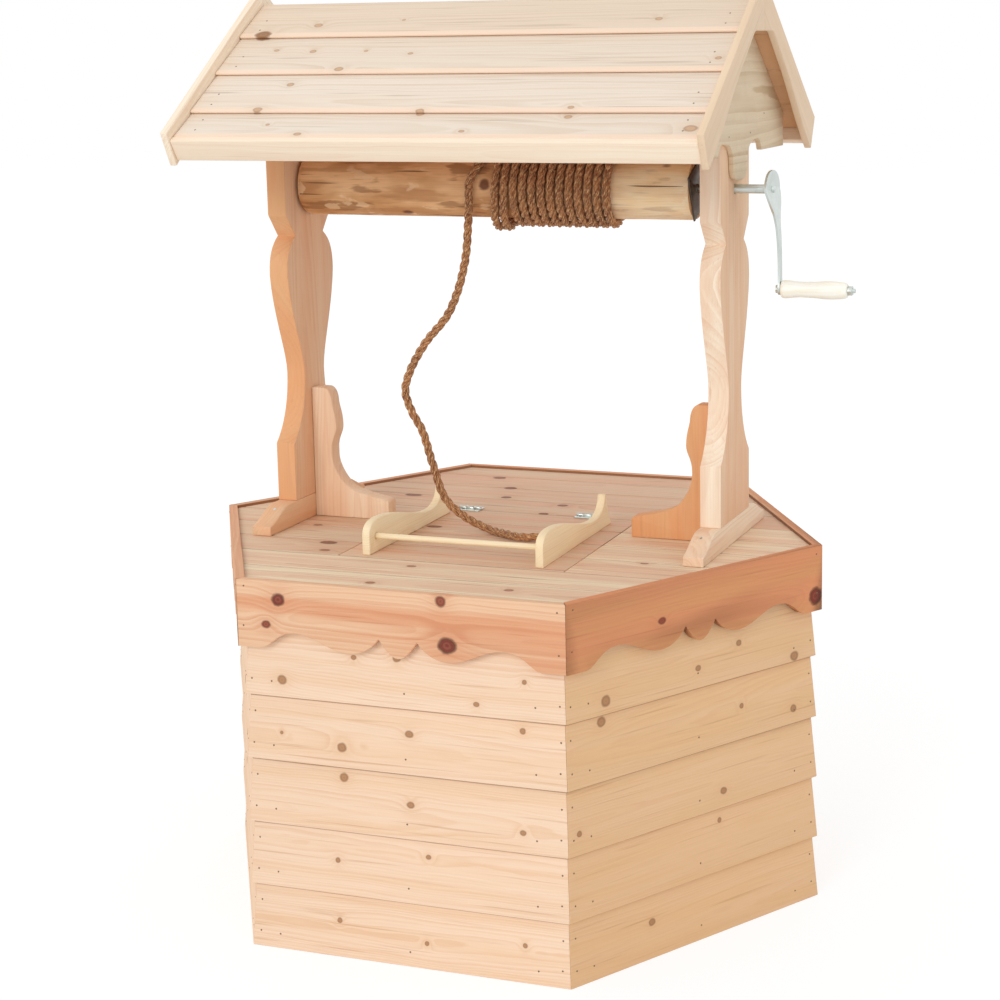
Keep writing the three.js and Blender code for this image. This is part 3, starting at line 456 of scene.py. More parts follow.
def pine(name, tones, spots=(), ring=0.0045, figure=0.4, bands=0.4, band_width=0.025, streaks=0.3,
         knots=0.3, lip=0.0, seam_shade_at=1.0, dark_from=0.0095):
    """Planed pine. Growth rings lie round a pith under each board's face, and knots bend them."""
    wood = Finish(name, {"Specular IOR Level": 0.3})
    place = wood.stored("place", "Vector")
    board, golden, shade_turned_away = [wood.stored(name) for name in ("board", "golden", "shade_turned_away")]

    def cloud(x, y, z, detail=2.0):
        return wood.cloud(wood.point(x, y, z), 1.0, detail)

    def luck(value, output="Value"):
        return wood.add("ShaderNodeTexWhiteNoise", {"noise_dimensions": "1D"}, {"W": value}, output)

    along, across, depth = wood.parts(wood.stored("grain", "Vector"))
    luck_a, luck_b, luck_c = wood.parts(luck(board, "Color"))
    drift = cloud(along * 1.6, across * 6.0, depth * 6.0 + board * 3.1)
    sway = cloud(along * 6.0 + 9.0, across * 26.0, depth * 26.0 + board * 5.3)

    cell_long, cell_wide = 0.21, 0.13
    cell = wood.point(along / cell_long, across / cell_wide, board * 1.7)
    chips = wood.add("ShaderNodeTexVoronoi", {}, {"Vector": cell, "Scale": 1.0})
    chip_luck = wood.parts(chips.beside("Color"))[0]
    nearest = chips / (0.01 + 0.05 * knots * chip_luck * chip_luck)
    dead, zone_apart = 0.0, 40.0
    for spot_along, spot_across, zone, radius, stretch in spots:
        shares = (1 / (radius * stretch), 1 / radius, zone_apart)
        centre = (-spot_along * shares[0], -spot_across * shares[1], -zone * shares[2])
        gap = wood.vector("LENGTH", [wood.vector("MULTIPLY_ADD", [place, shares, centre])], "Value")
        nearest = nearest.math("MINIMUM", nearest, gap)
        if radius > dark_from:
            dead = dead + (1 - wood.rise(gap, 1.2, 1.6))
    nearest = nearest + (cloud(along * 90.0, across * 120.0, board, 1.0) - 0.5) * 0.35
    swirl_power = nearest * nearest * -0.16
    swirl = swirl_power.math("EXPONENT", swirl_power)

    from_pith = across + (luck_a - 0.5) * 0.07 + (drift - 0.5) * 0.05
    below = depth + 0.008 + luck_b * 0.06 + along * (luck_c - 0.5) * 0.06 + (sway - 0.5) * 0.01
    radius = (from_pith * from_pith + below * below) ** 0.5 + swirl * (ring * 1.7)
    count = radius / ring + (cloud(radius * 70.0, board * 7.0, along * 0.8) - 0.5) * 2.6
    stage = radius.math("FRACT", count)
    ring_luck = luck(radius.math("FLOOR", count) + board * 17.0)
    line_share = wood.rise(stage, 0.1, 0.88) * (1 - wood.rise(stage, 0.9, 1.0)) * (0.25 + 0.9 * ring_luck)
    core = 1 - wood.rise(nearest, 0.8, 1.02)
    bark = wood.rise(nearest, 0.62, 0.92) * (1 - wood.rise(nearest, 0.98, 1.28))
    knot_ring = nearest.math("SINE", nearest * 13.0) * 0.5 + 0.5

    fibres = cloud(along * 11.0, across * 480.0, depth * 480.0, 3.0)
    resin = wood.rise(cloud(along * 4.0 + board, across * 190.0, depth * 190.0), 0.6, 0.76)
    band = cloud(along * 0.9, across / band_width + board * 2.7, depth / band_width, 3.0)
    band = wood.rise(band, 0.42, 0.62)

    colour = wood.mix(golden, tones["pale"], tones["gold"])
    colour = wood.mix(band * bands * (0.6 + 0.4 * golden) + luck_c * 0.2, colour, tones["warm"])
    colour = wood.mix(wood.rise(sway, 0.48, 0.68) * golden * golden * 0.6, colour, tones["warm"])
    colour = wood.mix(line_share * (figure * (0.4 + 0.9 * sway)), colour, tones["late"])
    colour = wood.mix(resin * streaks, colour, tones["streak"])
    colour = wood.mix((fibres - 0.5) * 0.3 + 0.03, colour, tones["streak"])
    # Painted highlight: a paler band along the lowest part of each board, where its rounded lower edge
    # catches the light.
    if lip:
        colour = wood.mix(wood.rise(across, -lip * 1.1, -lip * 0.9) * 0.7, colour, tones["lip"])
    # Painted shade: a dark line in the bark tone along one edge of each board. On the cladding it lies
    # under the lap of the board above, and on the deck in the V-groove.
    if seam_shade_at < 1.0:
        seam_shade_share = wood.rise(across, seam_shade_at - 0.0054, seam_shade_at - 0.003) * 0.6
        colour = wood.mix(seam_shade_share, colour, tones["bark"])
    colour = wood.mix(swirl * 0.3, colour, tones["late"])
    colour = wood.mix(core * (0.84 + 0.1 * knot_ring), colour, wood.mix(dead, tones["core"], tones["dead"]))
    colour = wood.mix(bark * (0.45 + 0.2 * dead), colour, tones["bark"])
    # Painted shade: faces turned away from a board's outer side take the under tone. These are the rim's
    # inner faces and the roof's underside.
    if "under" in tones:
        colour = wood.mix(shade_turned_away * 0.85, colour, tones["under"])
    wood.set("Base Color", colour)
    wood.set("Roughness", 0.66 + 0.18 * fibres - 0.1 * line_share - 0.12 * core)
    wood.bump(fibres * 0.6 + line_share * 0.5 - bark * 0.6, 0.35, 0.0006)
    return wood


def drawn(shape, name):
    """The piece that was drawn in bmesh."""
    mesh = bpy.data.meshes.new(name)
    shape.to_mesh(mesh)
    shape.free()
    return placed(name, mesh)


def rounded(shape, name, width, steps):
    """A solid drawn in bmesh, with its sharp edges rounded over by the given width."""
    piece = drawn(shape, name)
    edge = piece.modifiers.new("round_over", "BEVEL")
    edge.width = width
    edge.segments = steps
    edge.limit_method = "ANGLE"
    edge.angle_limit = math.radians(32)
    edge.harden_normals = True
    settle(piece).data.materials.clear()
    return piece


def planed(node, along, across, finish, zone=0.0, seams=(), round_over=0.0012, golden=0.4, steps=2,
           from_edge=False, edge_golden=None):
    """The board or boards of one solid with rounded edges, and the places its grain is drawn from.

    `seams` are where one board ends and the next begins, measured across the grain.
    """
    shape = bmesh.new()
    shape.from_mesh(nodes[node].data)
    bmesh.ops.remove_doubles(shape, verts=shape.verts, dist=1e-5)
    bmesh.ops.dissolve_limit(shape, angle_limit=math.radians(0.8), verts=shape.verts, edges=shape.edges)
    for face in shape.faces:
        face.smooth = True
    piece = rounded(shape, node + "_planed", round_over, steps)
    piece.data.materials.append(finish.material)
    edge_golden = golden if edge_golden is None else edge_golden
    draw_grain(piece.data, Vector(along), Vector(across), zone, seams, golden, edge_golden, from_edge)
    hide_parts(node)
    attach(piece, body_of[node])


def draw_grain(mesh, along, across, zone, seams, golden, edge_golden, from_edge):
    """Stores, at each face's corners, the place along, across and below the face of its own board."""
    out = along.cross(across)
    front = max(v.co @ out for v in mesh.vertices)
    lows = [v.co @ across for v in mesh.vertices]
    edges = [min(lows), *seams, max(lows)]
    grain, place, board, away, gold = [], [], [], [], []
    for face in mesh.polygons:
        middle = face.center @ across
        index = sum(1 for seam in seams if middle > seam)
        centre = edges[index + 1] if from_edge else (edges[index] + edges[index + 1]) / 2
        for k in face.vertices:
            p = mesh.vertices[k].co
            grain += [p @ along, p @ across - centre, p @ out - front]
            place += [p @ along, p @ across, zone]
            board.append(board_seed[0] + index)
            # Marks the faces turned away from the outer side, which get painted shade in finishes with an
            # under tone.
            away.append(1.0 if face.normal @ out < -0.6 else 0.0)
            gold.append(edge_golden if abs(face.normal @ across) > 0.5 else golden)
    board_seed[0] += len(seams) + 1
    for name, kind, values in (("grain", "FLOAT_VECTOR", grain), ("place", "FLOAT_VECTOR", place),
                               ("board", "FLOAT", board), ("shade_turned_away", "FLOAT", away),
                               ("golden", "FLOAT", gold)):
        store = mesh.attributes.new(name, kind, "CORNER")
        store.data.foreach_set("vector" if kind == "FLOAT_VECTOR" else "value", values)


def stains(**colours):
    """A wood's tones by name."""
    return {name: tone(*colour) for name, colour in colours.items()}


# Knots as (along, up or across, zone, radius, stretch along the grain). A zone is the set of pieces
# that they show on.
clad_spots = [
    (-0.225, 0.49, 0, 0.0075, 1.1), (-0.09, 0.54, 0, 0.004, 1.2), (-0.01, 0.545, 0, 0.006, 1.2),
    (0.22, 0.525, 0, 0.004, 1), (0.135, 0.48, 0, 0.004, 1.3), (-0.115, 0.38, 0, 0.0075, 1.1),
    (0.01, 0.415, 0, 0.006, 1.2), (-0.23, 0.395, 0, 0.003, 1), (0.215, 0.44, 0, 0.005, 1),
    (-0.115, 0.325, 0, 0.0075, 1), (0.01, 0.29, 0, 0.0055, 1.2), (0.215, 0.265, 0, 0.0045, 1.2),
    (-0.13, 0.175, 0, 0.0045, 1), (0.04, 0.2, 0, 0.004, 1.2), (-0.13, 0.065, 0, 0.0045, 1),
    (0.035, 0.045, 0, 0.004, 1), (0.215, 0.065, 0, 0.004, 1), (0.24, 0.47, 1, 0.008, 1.2),
    (0.105, 0.52, 1, 0.005, 1.2), (0.005, 0.495, 1, 0.005, 1.2), (-0.207, 0.482, 1, 0.0092, 1),
    (-0.213, 0.446, 1, 0.008, 1.1), (0.238, 0.372, 1, 0.0065, 1.1), (0.11, 0.404, 1, 0.0045, 1),
    (0.062, 0.26, 1, 0.006, 1.2), (0.055, 0.206, 1, 0.0045, 1), (-0.27, 0.266, 1, 0.005, 1),
    (-0.11, 0.064, 1, 0.006, 1.2),
]
clad_tones = stains(
    pale=(249, 221, 195), gold=(235, 190, 136), warm=(240, 200, 160), late=(226, 176, 130),
    streak=(196, 146, 104), core=(176, 128, 88), bark=(112, 70, 44), dead=(150, 98, 62))
# The cladding gets a line of painted shade under each lap.
clad_pine = pine("cladding_pine", clad_tones, clad_spots, figure=0.38, bands=0.5, streaks=0.45,
                 knots=0.12, seam_shade_at=clad_exposure / 2)
clad_seams = [clad_exposure * k for k in range(1, 5)] + [clad_top]
# How golden each side's boards are. Between the pale front and the deep gold of the right front side, this
# is partly the wood and partly painted shade.
side_golden_and_shade = [0.0, 0.85, 0.5, 0.3, 0.4, 0.1]
for side, outward, along_side in sides:
    planed(f"wall_panel_{side + 1}", along_side, (0, 0, 1), clad_pine, zone=side % 2,
           seams=clad_seams, round_over=0.001, golden=side_golden_and_shade[side])

# Rim boards
# A board 119 mm deep round the top of each side, its lower edge sawn in scallops with a point in the
# middle, mitred at the corners and nailed. It is redder pine than the cladding, with dark knots.
rim_spots = [
    (-0.22, 0.635, 0, 0.0105, 1.1), (-0.245, 0.59, 0, 0.0065, 1.3), (0.08, 0.655, 0, 0.009, 1),
    (0.09, 0.58, 0, 0.013, 1.2), (-0.09, 0.6, 1, 0.006, 1.4), (0.283, 0.575, 1, 0.015, 1),
]
# The rim's under tone is painted shade on its inner faces.
rim_tones = stains(
    pale=(243, 207, 172), gold=(213, 149, 98), warm=(222, 150, 106), late=(208, 132, 92),
    streak=(180, 100, 64), core=(134, 56, 38), bark=(66, 28, 20), dead=(118, 38, 30), under=(142, 96, 66))
rim_pine = pine("rim_pine", rim_tones, rim_spots, ring=0.0065, figure=0.5, bands=0.9, band_width=0.04,
                streaks=0.35, knots=0.1)
rim_golden = [0.1, 0.95, 0.5, 0.4, 0.6, 0.3]
for side, outward, along_side in sides:
    planed(f"rim_board_{side + 1}", along_side, (0, 0, 1), rim_pine, zone=side % 2,
           round_over=0.0016, golden=rim_golden[side])

# Deck and hatch
# Tongued boards 104 mm wide that run from side to side, with V-grooves between them. The hatch is cut
# out of the same boards and held together by two battens below.
deck_spots = [
    (-0.275, -0.215, 2, 0.01, 1.5), (-0.255, -0.27, 2, 0.0065, 1.5), (-0.055, -0.335, 2, 0.006, 1.4),
    (-0.075, -0.46, 2, 0.0065, 1.2), (0.17, -0.44, 2, 0.0065, 1.2), (-0.295, 0.21, 2, 0.01, 1.6),
    (-0.19, 0.415, 2, 0.009, 1.4), (-0.13, 0.325, 2, 0.0098, 1.2), (-0.105, 0.24, 2, 0.008, 1.2),
    (0.03, 0.2, 2, 0.008, 1.2), (0.02, 0.12, 2, 0.007, 1.3), (-0.14, -0.04, 2, 0.008, 1.8),
    (0.16, -0.08, 2, 0.006, 1.2), (-0.36, -0.09, 2, 0.0065, 1.3), (0.33, -0.2, 2, 0.006, 1.2),
]
deck_tones = stains(
    pale=(248, 231, 200), gold=(222, 192, 164), warm=(232, 188, 158), late=(204, 152, 118),
    streak=(170, 116, 88), core=(168, 112, 84), bark=(96, 54, 40), dead=(138, 82, 62))
board_pitch = 0.10375
# The deck gets a line of painted shade along each V-groove.
deck_pine = pine("deck_pine", deck_tones, deck_spots, ring=0.0055, figure=0.5, bands=0.9, band_width=0.05,
                 streaks=0.75, knots=0.3, seam_shade_at=board_pitch / 2, dark_from=0.0068)
hatch_rear_y = 0.118
deck_seams = [hatch_rear_y + k * board_pitch for k in range(-6, 4)]
seam_clear = 0.01
for part, gold in (("deck_front", 0.1), ("deck_rear", 0.75), ("deck_left", 0.6), ("deck_right", 0.1),
                   ("hatch_panel", 0.8)):
    low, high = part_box(part)
    planed(part, (1, 0, 0), (0, 1, 0), deck_pine, zone=2, round_over=0.001, golden=gold,
           seams=[y for y in deck_seams if low.y + seam_clear < y < high.y - seam_clear])

# Hidden frame
# Joists under the deck, bearers on the ground and the planter's floor board with its drain holes:
# sawn pine, rougher and greyer than what shows.
sawn_tones = stains(
    pale=(226, 196, 160), gold=(214, 176, 134), warm=(206, 166, 126), late=(188, 142, 100),
    streak=(160, 116, 82), core=(140, 88, 56), bark=(92, 56, 38), dead=(120, 72, 48))
sawn_pine = pine("sawn_pine", sawn_tones, figure=0.6, streaks=0.6, knots=0.5)
planed("deck_joists", (0, 1, 0), (-1, 0, 0), sawn_pine, round_over=0.0015)
for part in ("base_bearers", "floor_board"):
    planed(part, (1, 0, 0), (0, 1, 0), sawn_pine, round_over=0.0015)

# Handle
# Two shaped sides screwed to the hatch with a dowel let in between them to lift it by, in pale
# yellow spruce with close straight grain.
handle_tones = stains(
    pale=(255, 242, 208), gold=(255, 234, 192), warm=(255, 228, 182), late=(230, 180, 128),
    streak=(214, 168, 118), core=(160, 108, 70), bark=(120, 78, 50), dead=(150, 98, 62))
handle_wood = pine("handle_spruce", handle_tones, ring=0.0034, figure=0.32, bands=0.2, streaks=0.12,
                   knots=0.0)
for part in ("handle_left", "handle_right"):
    planed(part, (0, 1, 0), (0, 0, 1), handle_wood, round_over=0.0018, golden=0.2)
planed("handle_dowel", (1, 0, 0), (0, 1, 0), handle_wood, round_over=0.0006, golden=0.1)

# Posts, cleats and corbels
# Planks 38 mm thick with waisted edges stand on bevelled foot cleats, held upright by a curved corbel
# inside. The left post's edges and the right corbel are golden heartwood, the other edges are pale.
post_tones = stains(
    pale=(255, 245, 224), gold=(230, 174, 120), warm=(234, 166, 116), late=(218, 158, 112),
    streak=(200, 134, 92), core=(160, 98, 64), bark=(104, 62, 40), dead=(130, 76, 50))
post_pine = pine("post_pine", post_tones, ring=0.0065, figure=0.34, bands=0.35, band_width=0.06,
                 streaks=0.2, knots=0.05)
# How golden a post's sides, its edges, its cleat and its corbel are.
post_golden = (("left", 0.46, 0.9, 0.66, 0.36), ("right", 0.46, 0.0, 0.25, 0.92))
for name, post_gold, edge_gold, cleat_gold, corbel_gold in post_golden:
    planed(f"post_{name}", (0, 0, 1), (0, -1, 0), post_pine, round_over=0.0022,
           golden=post_gold, edge_golden=edge_gold, steps=3)
    planed(f"foot_cleat_{name}", (0, 1, 0), (0, 0, 1), post_pine, round_over=0.0018,
           golden=cleat_gold)
    planed(f"corbel_{name}", (0, 0, 1), (1, 0, 0), post_pine, round_over=0.002,
           golden=corbel_gold)

# Roof
# Four lapped boards to a slope with rounded lower edges, a board along each eave, and bargeboards
# with arched lower edges mitred at the ridge. A notched board closes each gable over the post.
roof_pitch = math.radians(34)
# Knots as (along, down from the ridge, radius, stretch).
roof_spots = [
    (-0.43, 0.104, 0.01, 1.5), (-0.345, 0.335, 0.006, 1.4), (0.32, 0.07, 0.005, 1.2),
    (0.455, 0.385, 0.0085, 1.3), (0.235, 0.35, 0.005, 1.3), (0.235, 0.33, 0.0042, 1.3),
    (0.37, 0.432, 0.006, 1.2), (0.455, 0.19, 0.0045, 1.2), (-0.33, 0.075, 0.006, 1.3),
    (-0.385, 0.15, 0.0036, 1.3), (-0.31, 0.155, 0.0048, 1.2), (-0.205, 0.155, 0.003, 1.2),
    (-0.115, 0.165, 0.0036, 1.3), (-0.235, 0.215, 0.0062, 1.3), (-0.315, 0.255, 0.0054, 1.2),
    (-0.31, 0.375, 0.003, 1.2), (-0.24, 0.405, 0.0045, 1.5), (-0.165, 0.06, 0.0028, 1.2),
    (-0.035, 0.34, 0.0058, 1.2), (0.06, 0.395, 0.0036, 1.4),
]
ridge_z = 1.6232
ridge_across = -ridge_z * math.sin(roof_pitch)
roof_spots = [(-x, ridge_across + down, 3, radius, stretch) for x, down, radius, stretch in roof_spots]
# The roof's under tone is painted shade on the boards' undersides.
roof_tones = stains(
    pale=(240, 228, 214), gold=(227, 207, 184), warm=(236, 214, 192), late=(214, 188, 160),
    streak=(184, 164, 142), core=(206, 168, 134), bark=(146, 106, 78), dead=(150, 104, 68),
    lip=(250, 222, 198), under=(212, 158, 108))
# The lip tone is a painted highlight along each roof board's rounded lower edge.
roof_pine = pine("roof_pine", roof_tones, roof_spots, ring=0.007, figure=0.5, bands=0.4, streaks=0.55,
                 knots=0.1, lip=0.011)
barge_tones = dict(roof_tones, **stains(pale=(255, 241, 220), gold=(230, 204, 172), warm=(246, 220, 192),
                                        late=(232, 194, 158), streak=(208, 164, 128)))
del barge_tones["under"]
barge_pine = pine("barge_pine", barge_tones, ring=0.006, figure=0.35, bands=0.4, streaks=0.25, knots=0.1)
slopes = []
for name, s in (("front", -1), ("rear", 1)):
    down_slope = Vector((0, s * math.cos(roof_pitch), -math.sin(roof_pitch)))
    skyward = Vector((0, s * math.sin(roof_pitch), math.cos(roof_pitch)))
    slopes.append((name, down_slope, skyward))
    for k, gold in ((1, 0.75), (2, 0.4), (3, 0.0), (4, 0.2)):
        planed(f"roof_board_{name}_{k}", (s, 0, 0), down_slope, roof_pine, from_edge=True,
               zone=3, round_over=0.003, golden=gold, steps=3)
    planed(f"eave_board_{name}", (s, 0, 0), down_slope, barge_pine, zone=5, round_over=0.0015,
           golden=0.0)
    for end, gold in (("left", 0.0), ("right", 0.9)):
        planed(f"bargeboard_{end}_{name}", down_slope, skyward, barge_pine, zone=5,
               round_over=0.0016, golden=gold)

gable_tones = dict(barge_tones, **stains(pale=(232, 215, 188), gold=(226, 202, 164), warm=(226, 204, 170),
                                         late=(190, 158, 116)))
gable_pine = pine("gable_pine", gable_tones, ring=0.016, figure=0.8, bands=0.3, streaks=0.2, knots=0.1)
for end in ("left", "right"):
    planed(f"gable_board_{end}", (0, 1, 0), (0, 0, 1), gable_pine, round_over=0.0014, golden=0.2)

# Roller
# A debarked log, a little uneven, darker brown towards its left end and paler towards the crank, with dark
# streaks where the bark came off and a few knots.
log_wood = Finish("log_wood", {"Specular IOR Level": 0.3})
log_x, log_y, log_z = log_wood.parts(log_wood.place())
log_up = log_z - roller_axis_z


def log_cloud(scale_along, scale_across, detail, shift=0.0):
    point = log_wood.point(log_x * scale_along + shift, log_y * scale_across, log_up * scale_across)
    return log_wood.cloud(point, 1.0, detail)


log_patch = log_cloud(6.0, 16.0, 3.0, 3.0)
log_streak = log_cloud(7.0, 46.0, 5.0)
log_fibre = log_cloud(14.0, 420.0, 3.0)
log_scar = log_wood.rise(log_cloud(8.0, 40.0, 4.0, 7.0), 0.57, 0.64)
log_flake = log_wood.rise(log_cloud(20.0, 44.0, 4.0, 19.0), 0.6, 0.66)
log_crack = log_wood.rise(log_cloud(4.0, 170.0, 1.0, 11.0), 0.7, 0.75)
log_cells = log_wood.add("ShaderNodeTexVoronoi", {}, {
    "Vector": log_wood.point(log_x * 7.0, log_y * 12.0, log_up * 12.0), "Scale": 1.0})
log_eye_at = (-0.016, -0.057, 1.3075)
log_eye = log_wood.vector("DISTANCE", [log_wood.place(), log_eye_at], "Value")
log_knot = 1 - log_wood.rise(log_cells + (log_fibre - 0.5) * 0.05, 0.06, 0.11)
log_eye_knot = 1 - log_wood.rise(log_eye + (log_streak - 0.5) * 0.02, 0.007, 0.013)
log_knot = log_knot.math("MAXIMUM", log_knot, log_eye_knot)
# The log is darker brown towards its left end and paler towards the crank.
log_toward_crank = log_wood.rise(log_x, 0.1, 0.3)
log_patch = log_wood.rise(log_patch, 0.38, 0.62)
log_brown = log_wood.mix(log_patch, tone(212, 158, 106), tone(244, 198, 148))
log_crank_end = log_wood.mix(log_patch, tone(255, 224, 174), tone(255, 240, 208))
log_colour = log_wood.mix(log_toward_crank, log_brown, log_crank_end)
log_dark_streaks = log_wood.rise(log_streak, 0.48, 0.62) * (0.55 - 0.38 * log_toward_crank)
log_colour = log_wood.mix(log_dark_streaks, log_colour, tone(184, 126, 80))
log_colour = log_wood.mix(log_scar * (0.6 - 0.3 * log_toward_crank), log_colour, tone(140, 88, 52))
log_colour = log_wood.mix(log_flake * 0.55, log_colour, tone(250, 214, 170))
log_colour = log_wood.mix((log_fibre - 0.5) * 0.7 + 0.02, log_colour, tone(168, 116, 72))
log_colour = log_wood.mix(log_crack * 0.8, log_colour, tone(84, 50, 30))
log_colour = log_wood.mix(log_knot * 0.85, log_colour, tone(100, 46, 32))
log_wood.set("Base Color", log_colour)
log_wood.set("Roughness", 0.55 + 0.2 * log_fibre - 0.15 * log_flake)
log_wood.bump(log_streak * 0.8 + log_fibre * 0.4 + log_flake * 0.3 - log_crack * 0.6, 0.5, 0.0012)


def skinned(loops, closed=False):
    """A shape drawn over loops of points, with a flat face at each end unless it closes on itself."""
    shape = bmesh.new()
    rings = [[shape.verts.new(point) for point in loop] for loop in loops]
    for first, second in zip(rings, rings[1:] + (rings[:1] if closed else [])):
        for k in range(len(first)):
            n = (k + 1) % len(first)
            shape.faces.new((first[k], second[k], second[n], first[n])).smooth = True
    if not closed:
        shape.faces.new(rings[0])
        shape.faces.new(list(reversed(rings[-1])))
    bmesh.ops.recalc_face_normals(shape, faces=shape.faces)
    return shape


def turned_piece(shape, name, finish, sharp_from):
    """A round piece whose corners sharper than an angle in degrees stay crisp."""
    piece = drawn(shape, name)
    piece.data.set_sharp_from_angle(angle=math.radians(sharp_from))
    piece.data.materials.append(finish.material)
    return piece


log_rings, log_sides, log_chamfer, log_inset = 90, 80, 0.002, 0.0008
# Its unevenness as (waves along, waves across, height).
log_waves = ((5, 1.3, 0.0011), (22, 5, 0.0004))
log_low, log_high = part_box("roller")
log_loops = []
for i in range(log_rings + 1):
    x = log_low.x + (log_high.x - log_low.x) * (i / log_rings)
    trim = log_inset + (log_chamfer if i in (0, log_rings) else 0)
    loop = []
    for k in range(log_sides):
        angle = 2 * math.pi * k / log_sides
        way = Vector((0, math.cos(angle), math.sin(angle)))
        uneven = sum(noise.noise(Vector((x * along, way.y * across, way.z * across))) * height
                     for along, across, height in log_waves)
        radius = roller_radius - trim + uneven
        loop.append((x, radius * way.y, roller_axis_z + radius * way.z))
    log_loops.append(loop)
log = turned_piece(skinned(log_loops), "log_roller", log_wood, 50)
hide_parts("roller")
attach(log, "windlass")

# Shaft, crank and plates
# Bright zinc-plated steel: a rod in each end of the log, a swept flat crank with a round pad, the
# grip's bolt and nut, and the two small hatch hinges. The square plate on the log's end isn't plated.
zinc = Finish("zinc", {"Metallic": 1.0})
zinc_grain = zinc.cloud(zinc.place(), 60.0, 4.0)
zinc_spangle = zinc.add("ShaderNodeTexVoronoi", {}, {"Vector": zinc.place(), "Scale": 130.0}, "Color")
zinc_shade = zinc.parts(zinc_spangle)[0]
zinc_dull = zinc_grain * 0.6 + zinc_shade * 0.15
zinc.set("Base Color", zinc.mix(zinc_dull, tone(226, 233, 229), tone(192, 201, 197)))
zinc.set("Roughness", 0.24 + 0.14 * zinc_grain + 0.04 * zinc_shade)
zinc.bump(zinc_grain, 0.1, 0.0003)
for part in ("crank_shaft", "idle_pin", "grip_bolt", "grip_nut",
             "hinge_fixed_left", "hinge_fixed_right", "hinge_moving_left", "hinge_moving_right"):
    planed(part, (1, 0, 0), (0, 1, 0), zinc, round_over=0.0004)

# That plate is mild steel that has gone dark.
mild = Finish("mild_steel", {"Metallic": 0.9})
mild_grain = mild.cloud(mild.place(), 90.0, 4.0)
mild.set("Base Color", mild.mix(mild_grain, tone(118, 112, 106), tone(84, 80, 76)))
mild.set("Roughness", 0.35 + 0.2 * mild_grain)
planed("end_plate", (1, 0, 0), (0, 1, 0), mild, round_over=0.0005)

# The crank is pressed from 4 mm strip: half its width at each height from the shaft, from the top of
# the round pad to the rounded end. The pad is turned a little to the front.
crank_outline = [
    (0.001, 0.0335), (0.013, 0.031), (0.024, 0.0238), (0.0318, 0.011), (0.0335, -0.001),
    (0.032, -0.014), (0.0262, -0.029), (0.0178, -0.044), (0.0132, -0.064), (0.011, -0.088),
    (0.0094, -0.115), (0.0088, -0.145), (0.0096, -0.164), (0.0105, -0.175), (0.0088, -0.1815),
    (0.0045, -0.1848), (0.0008, -0.1855),
]
crank_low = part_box("crank_arm")[0]
crank_length, crank_cant, crank_thickness = 0.175, 0.015, 0.004
crank_turn, crank_turn_end = math.radians(7), -0.07
crank_loops = []
for point in smooth_route([Vector((width, height, 0)) for width, height in crank_outline], 4):
    above = 1 - max(0, -point.y) / crank_length
    inner_x = crank_low.x + crank_cant * (1 - above ** 3)
    turn = crank_turn * min(1, max(0, 1 - point.y / crank_turn_end)) if point.y < 0 else crank_turn
    loop = []
    for side_y, deep in ((-1, 0), (1, 0), (1, 1), (-1, 1)):
        reach = side_y * point.x
        loop.append((inner_x + deep * crank_thickness + reach * math.sin(turn),
                     reach * math.cos(turn), roller_axis_z + point.y))
    crank_loops.append(loop)
crank = rounded(skinned(crank_loops), "pressed_crank", 0.0009, 2)
crank.data.materials.append(zinc.material)
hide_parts("crank_arm")
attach(crank, "windlass")

# Grip
# A turned beech grip that spins on its bolt: thicker near both ends, waisted between, sanded smooth
# and lacquered, so it is the whitest wood on the well.
grip_low, grip_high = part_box("crank_grip")
grip_axis_z = (grip_low.z + grip_high.z) / 2
grip_radius, grip_length = (grip_high.y - grip_low.y) / 2, grip_high.x - grip_low.x
grip_bore, grip_sides = 0.0043, 48
# Its outline in shares of its length and of its radius.
grip_shares = [
    (0, 0.62), (0.004, 0.74), (0.012, 0.86), (0.03, 0.96), (0.055, 1), (0.09, 1), (0.28, 0.86), (0.5, 0.9),
    (0.7, 1), (0.87, 0.95), (0.955, 0.87), (0.985, 0.78), (0.997, 0.66), (1, 0.5),
]
beech = Finish("beech", {"Specular IOR Level": 0.45, "Coat Weight": 0.25, "Coat Roughness": 0.25})
beech_along = beech.add("ShaderNodeMapping", {}, {"Vector": beech.place(), "Scale": (9.0, 260.0, 260.0)})
beech_grain = beech.cloud(beech_along, 1.0, 3.0)
beech_fleck = beech.add("ShaderNodeMapping", {}, {"Vector": beech.place(), "Scale": (160.0, 900.0, 900.0)})
beech_rays = beech.cloud(beech_fleck)
beech_colour = beech.mix(beech.rise(beech_grain, 0.35, 0.7), tone(255, 255, 248), tone(252, 246, 226))
beech_flecks = beech.rise(beech_rays, 0.6, 0.75) * 0.25
beech.set("Base Color", beech.mix(beech_flecks, beech_colour, tone(236, 216, 178)))
beech.set("Roughness", 0.35 + 0.15 * beech_grain)
beech.bump(beech_grain, 0.1, 0.0003)
profile = smooth_route([Vector((along, out, 0)) for along, out in grip_shares], 4)
grip_line = [(grip_bore, 0)] + [(p.y * grip_radius, p.x * grip_length) for p in profile]
grip_loops = []
for out, along in grip_line + [(grip_bore, grip_length)]:
    angles = [2 * math.pi * k / grip_sides for k in range(grip_sides)]
    grip_loops.append([(grip_low.x + along, out * math.cos(angle), grip_axis_z + out * math.sin(angle))
                       for angle in angles])
grip = turned_piece(skinned(grip_loops, closed=True), "turned_grip", beech, 60)
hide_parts("crank_grip")
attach(grip, "grip")

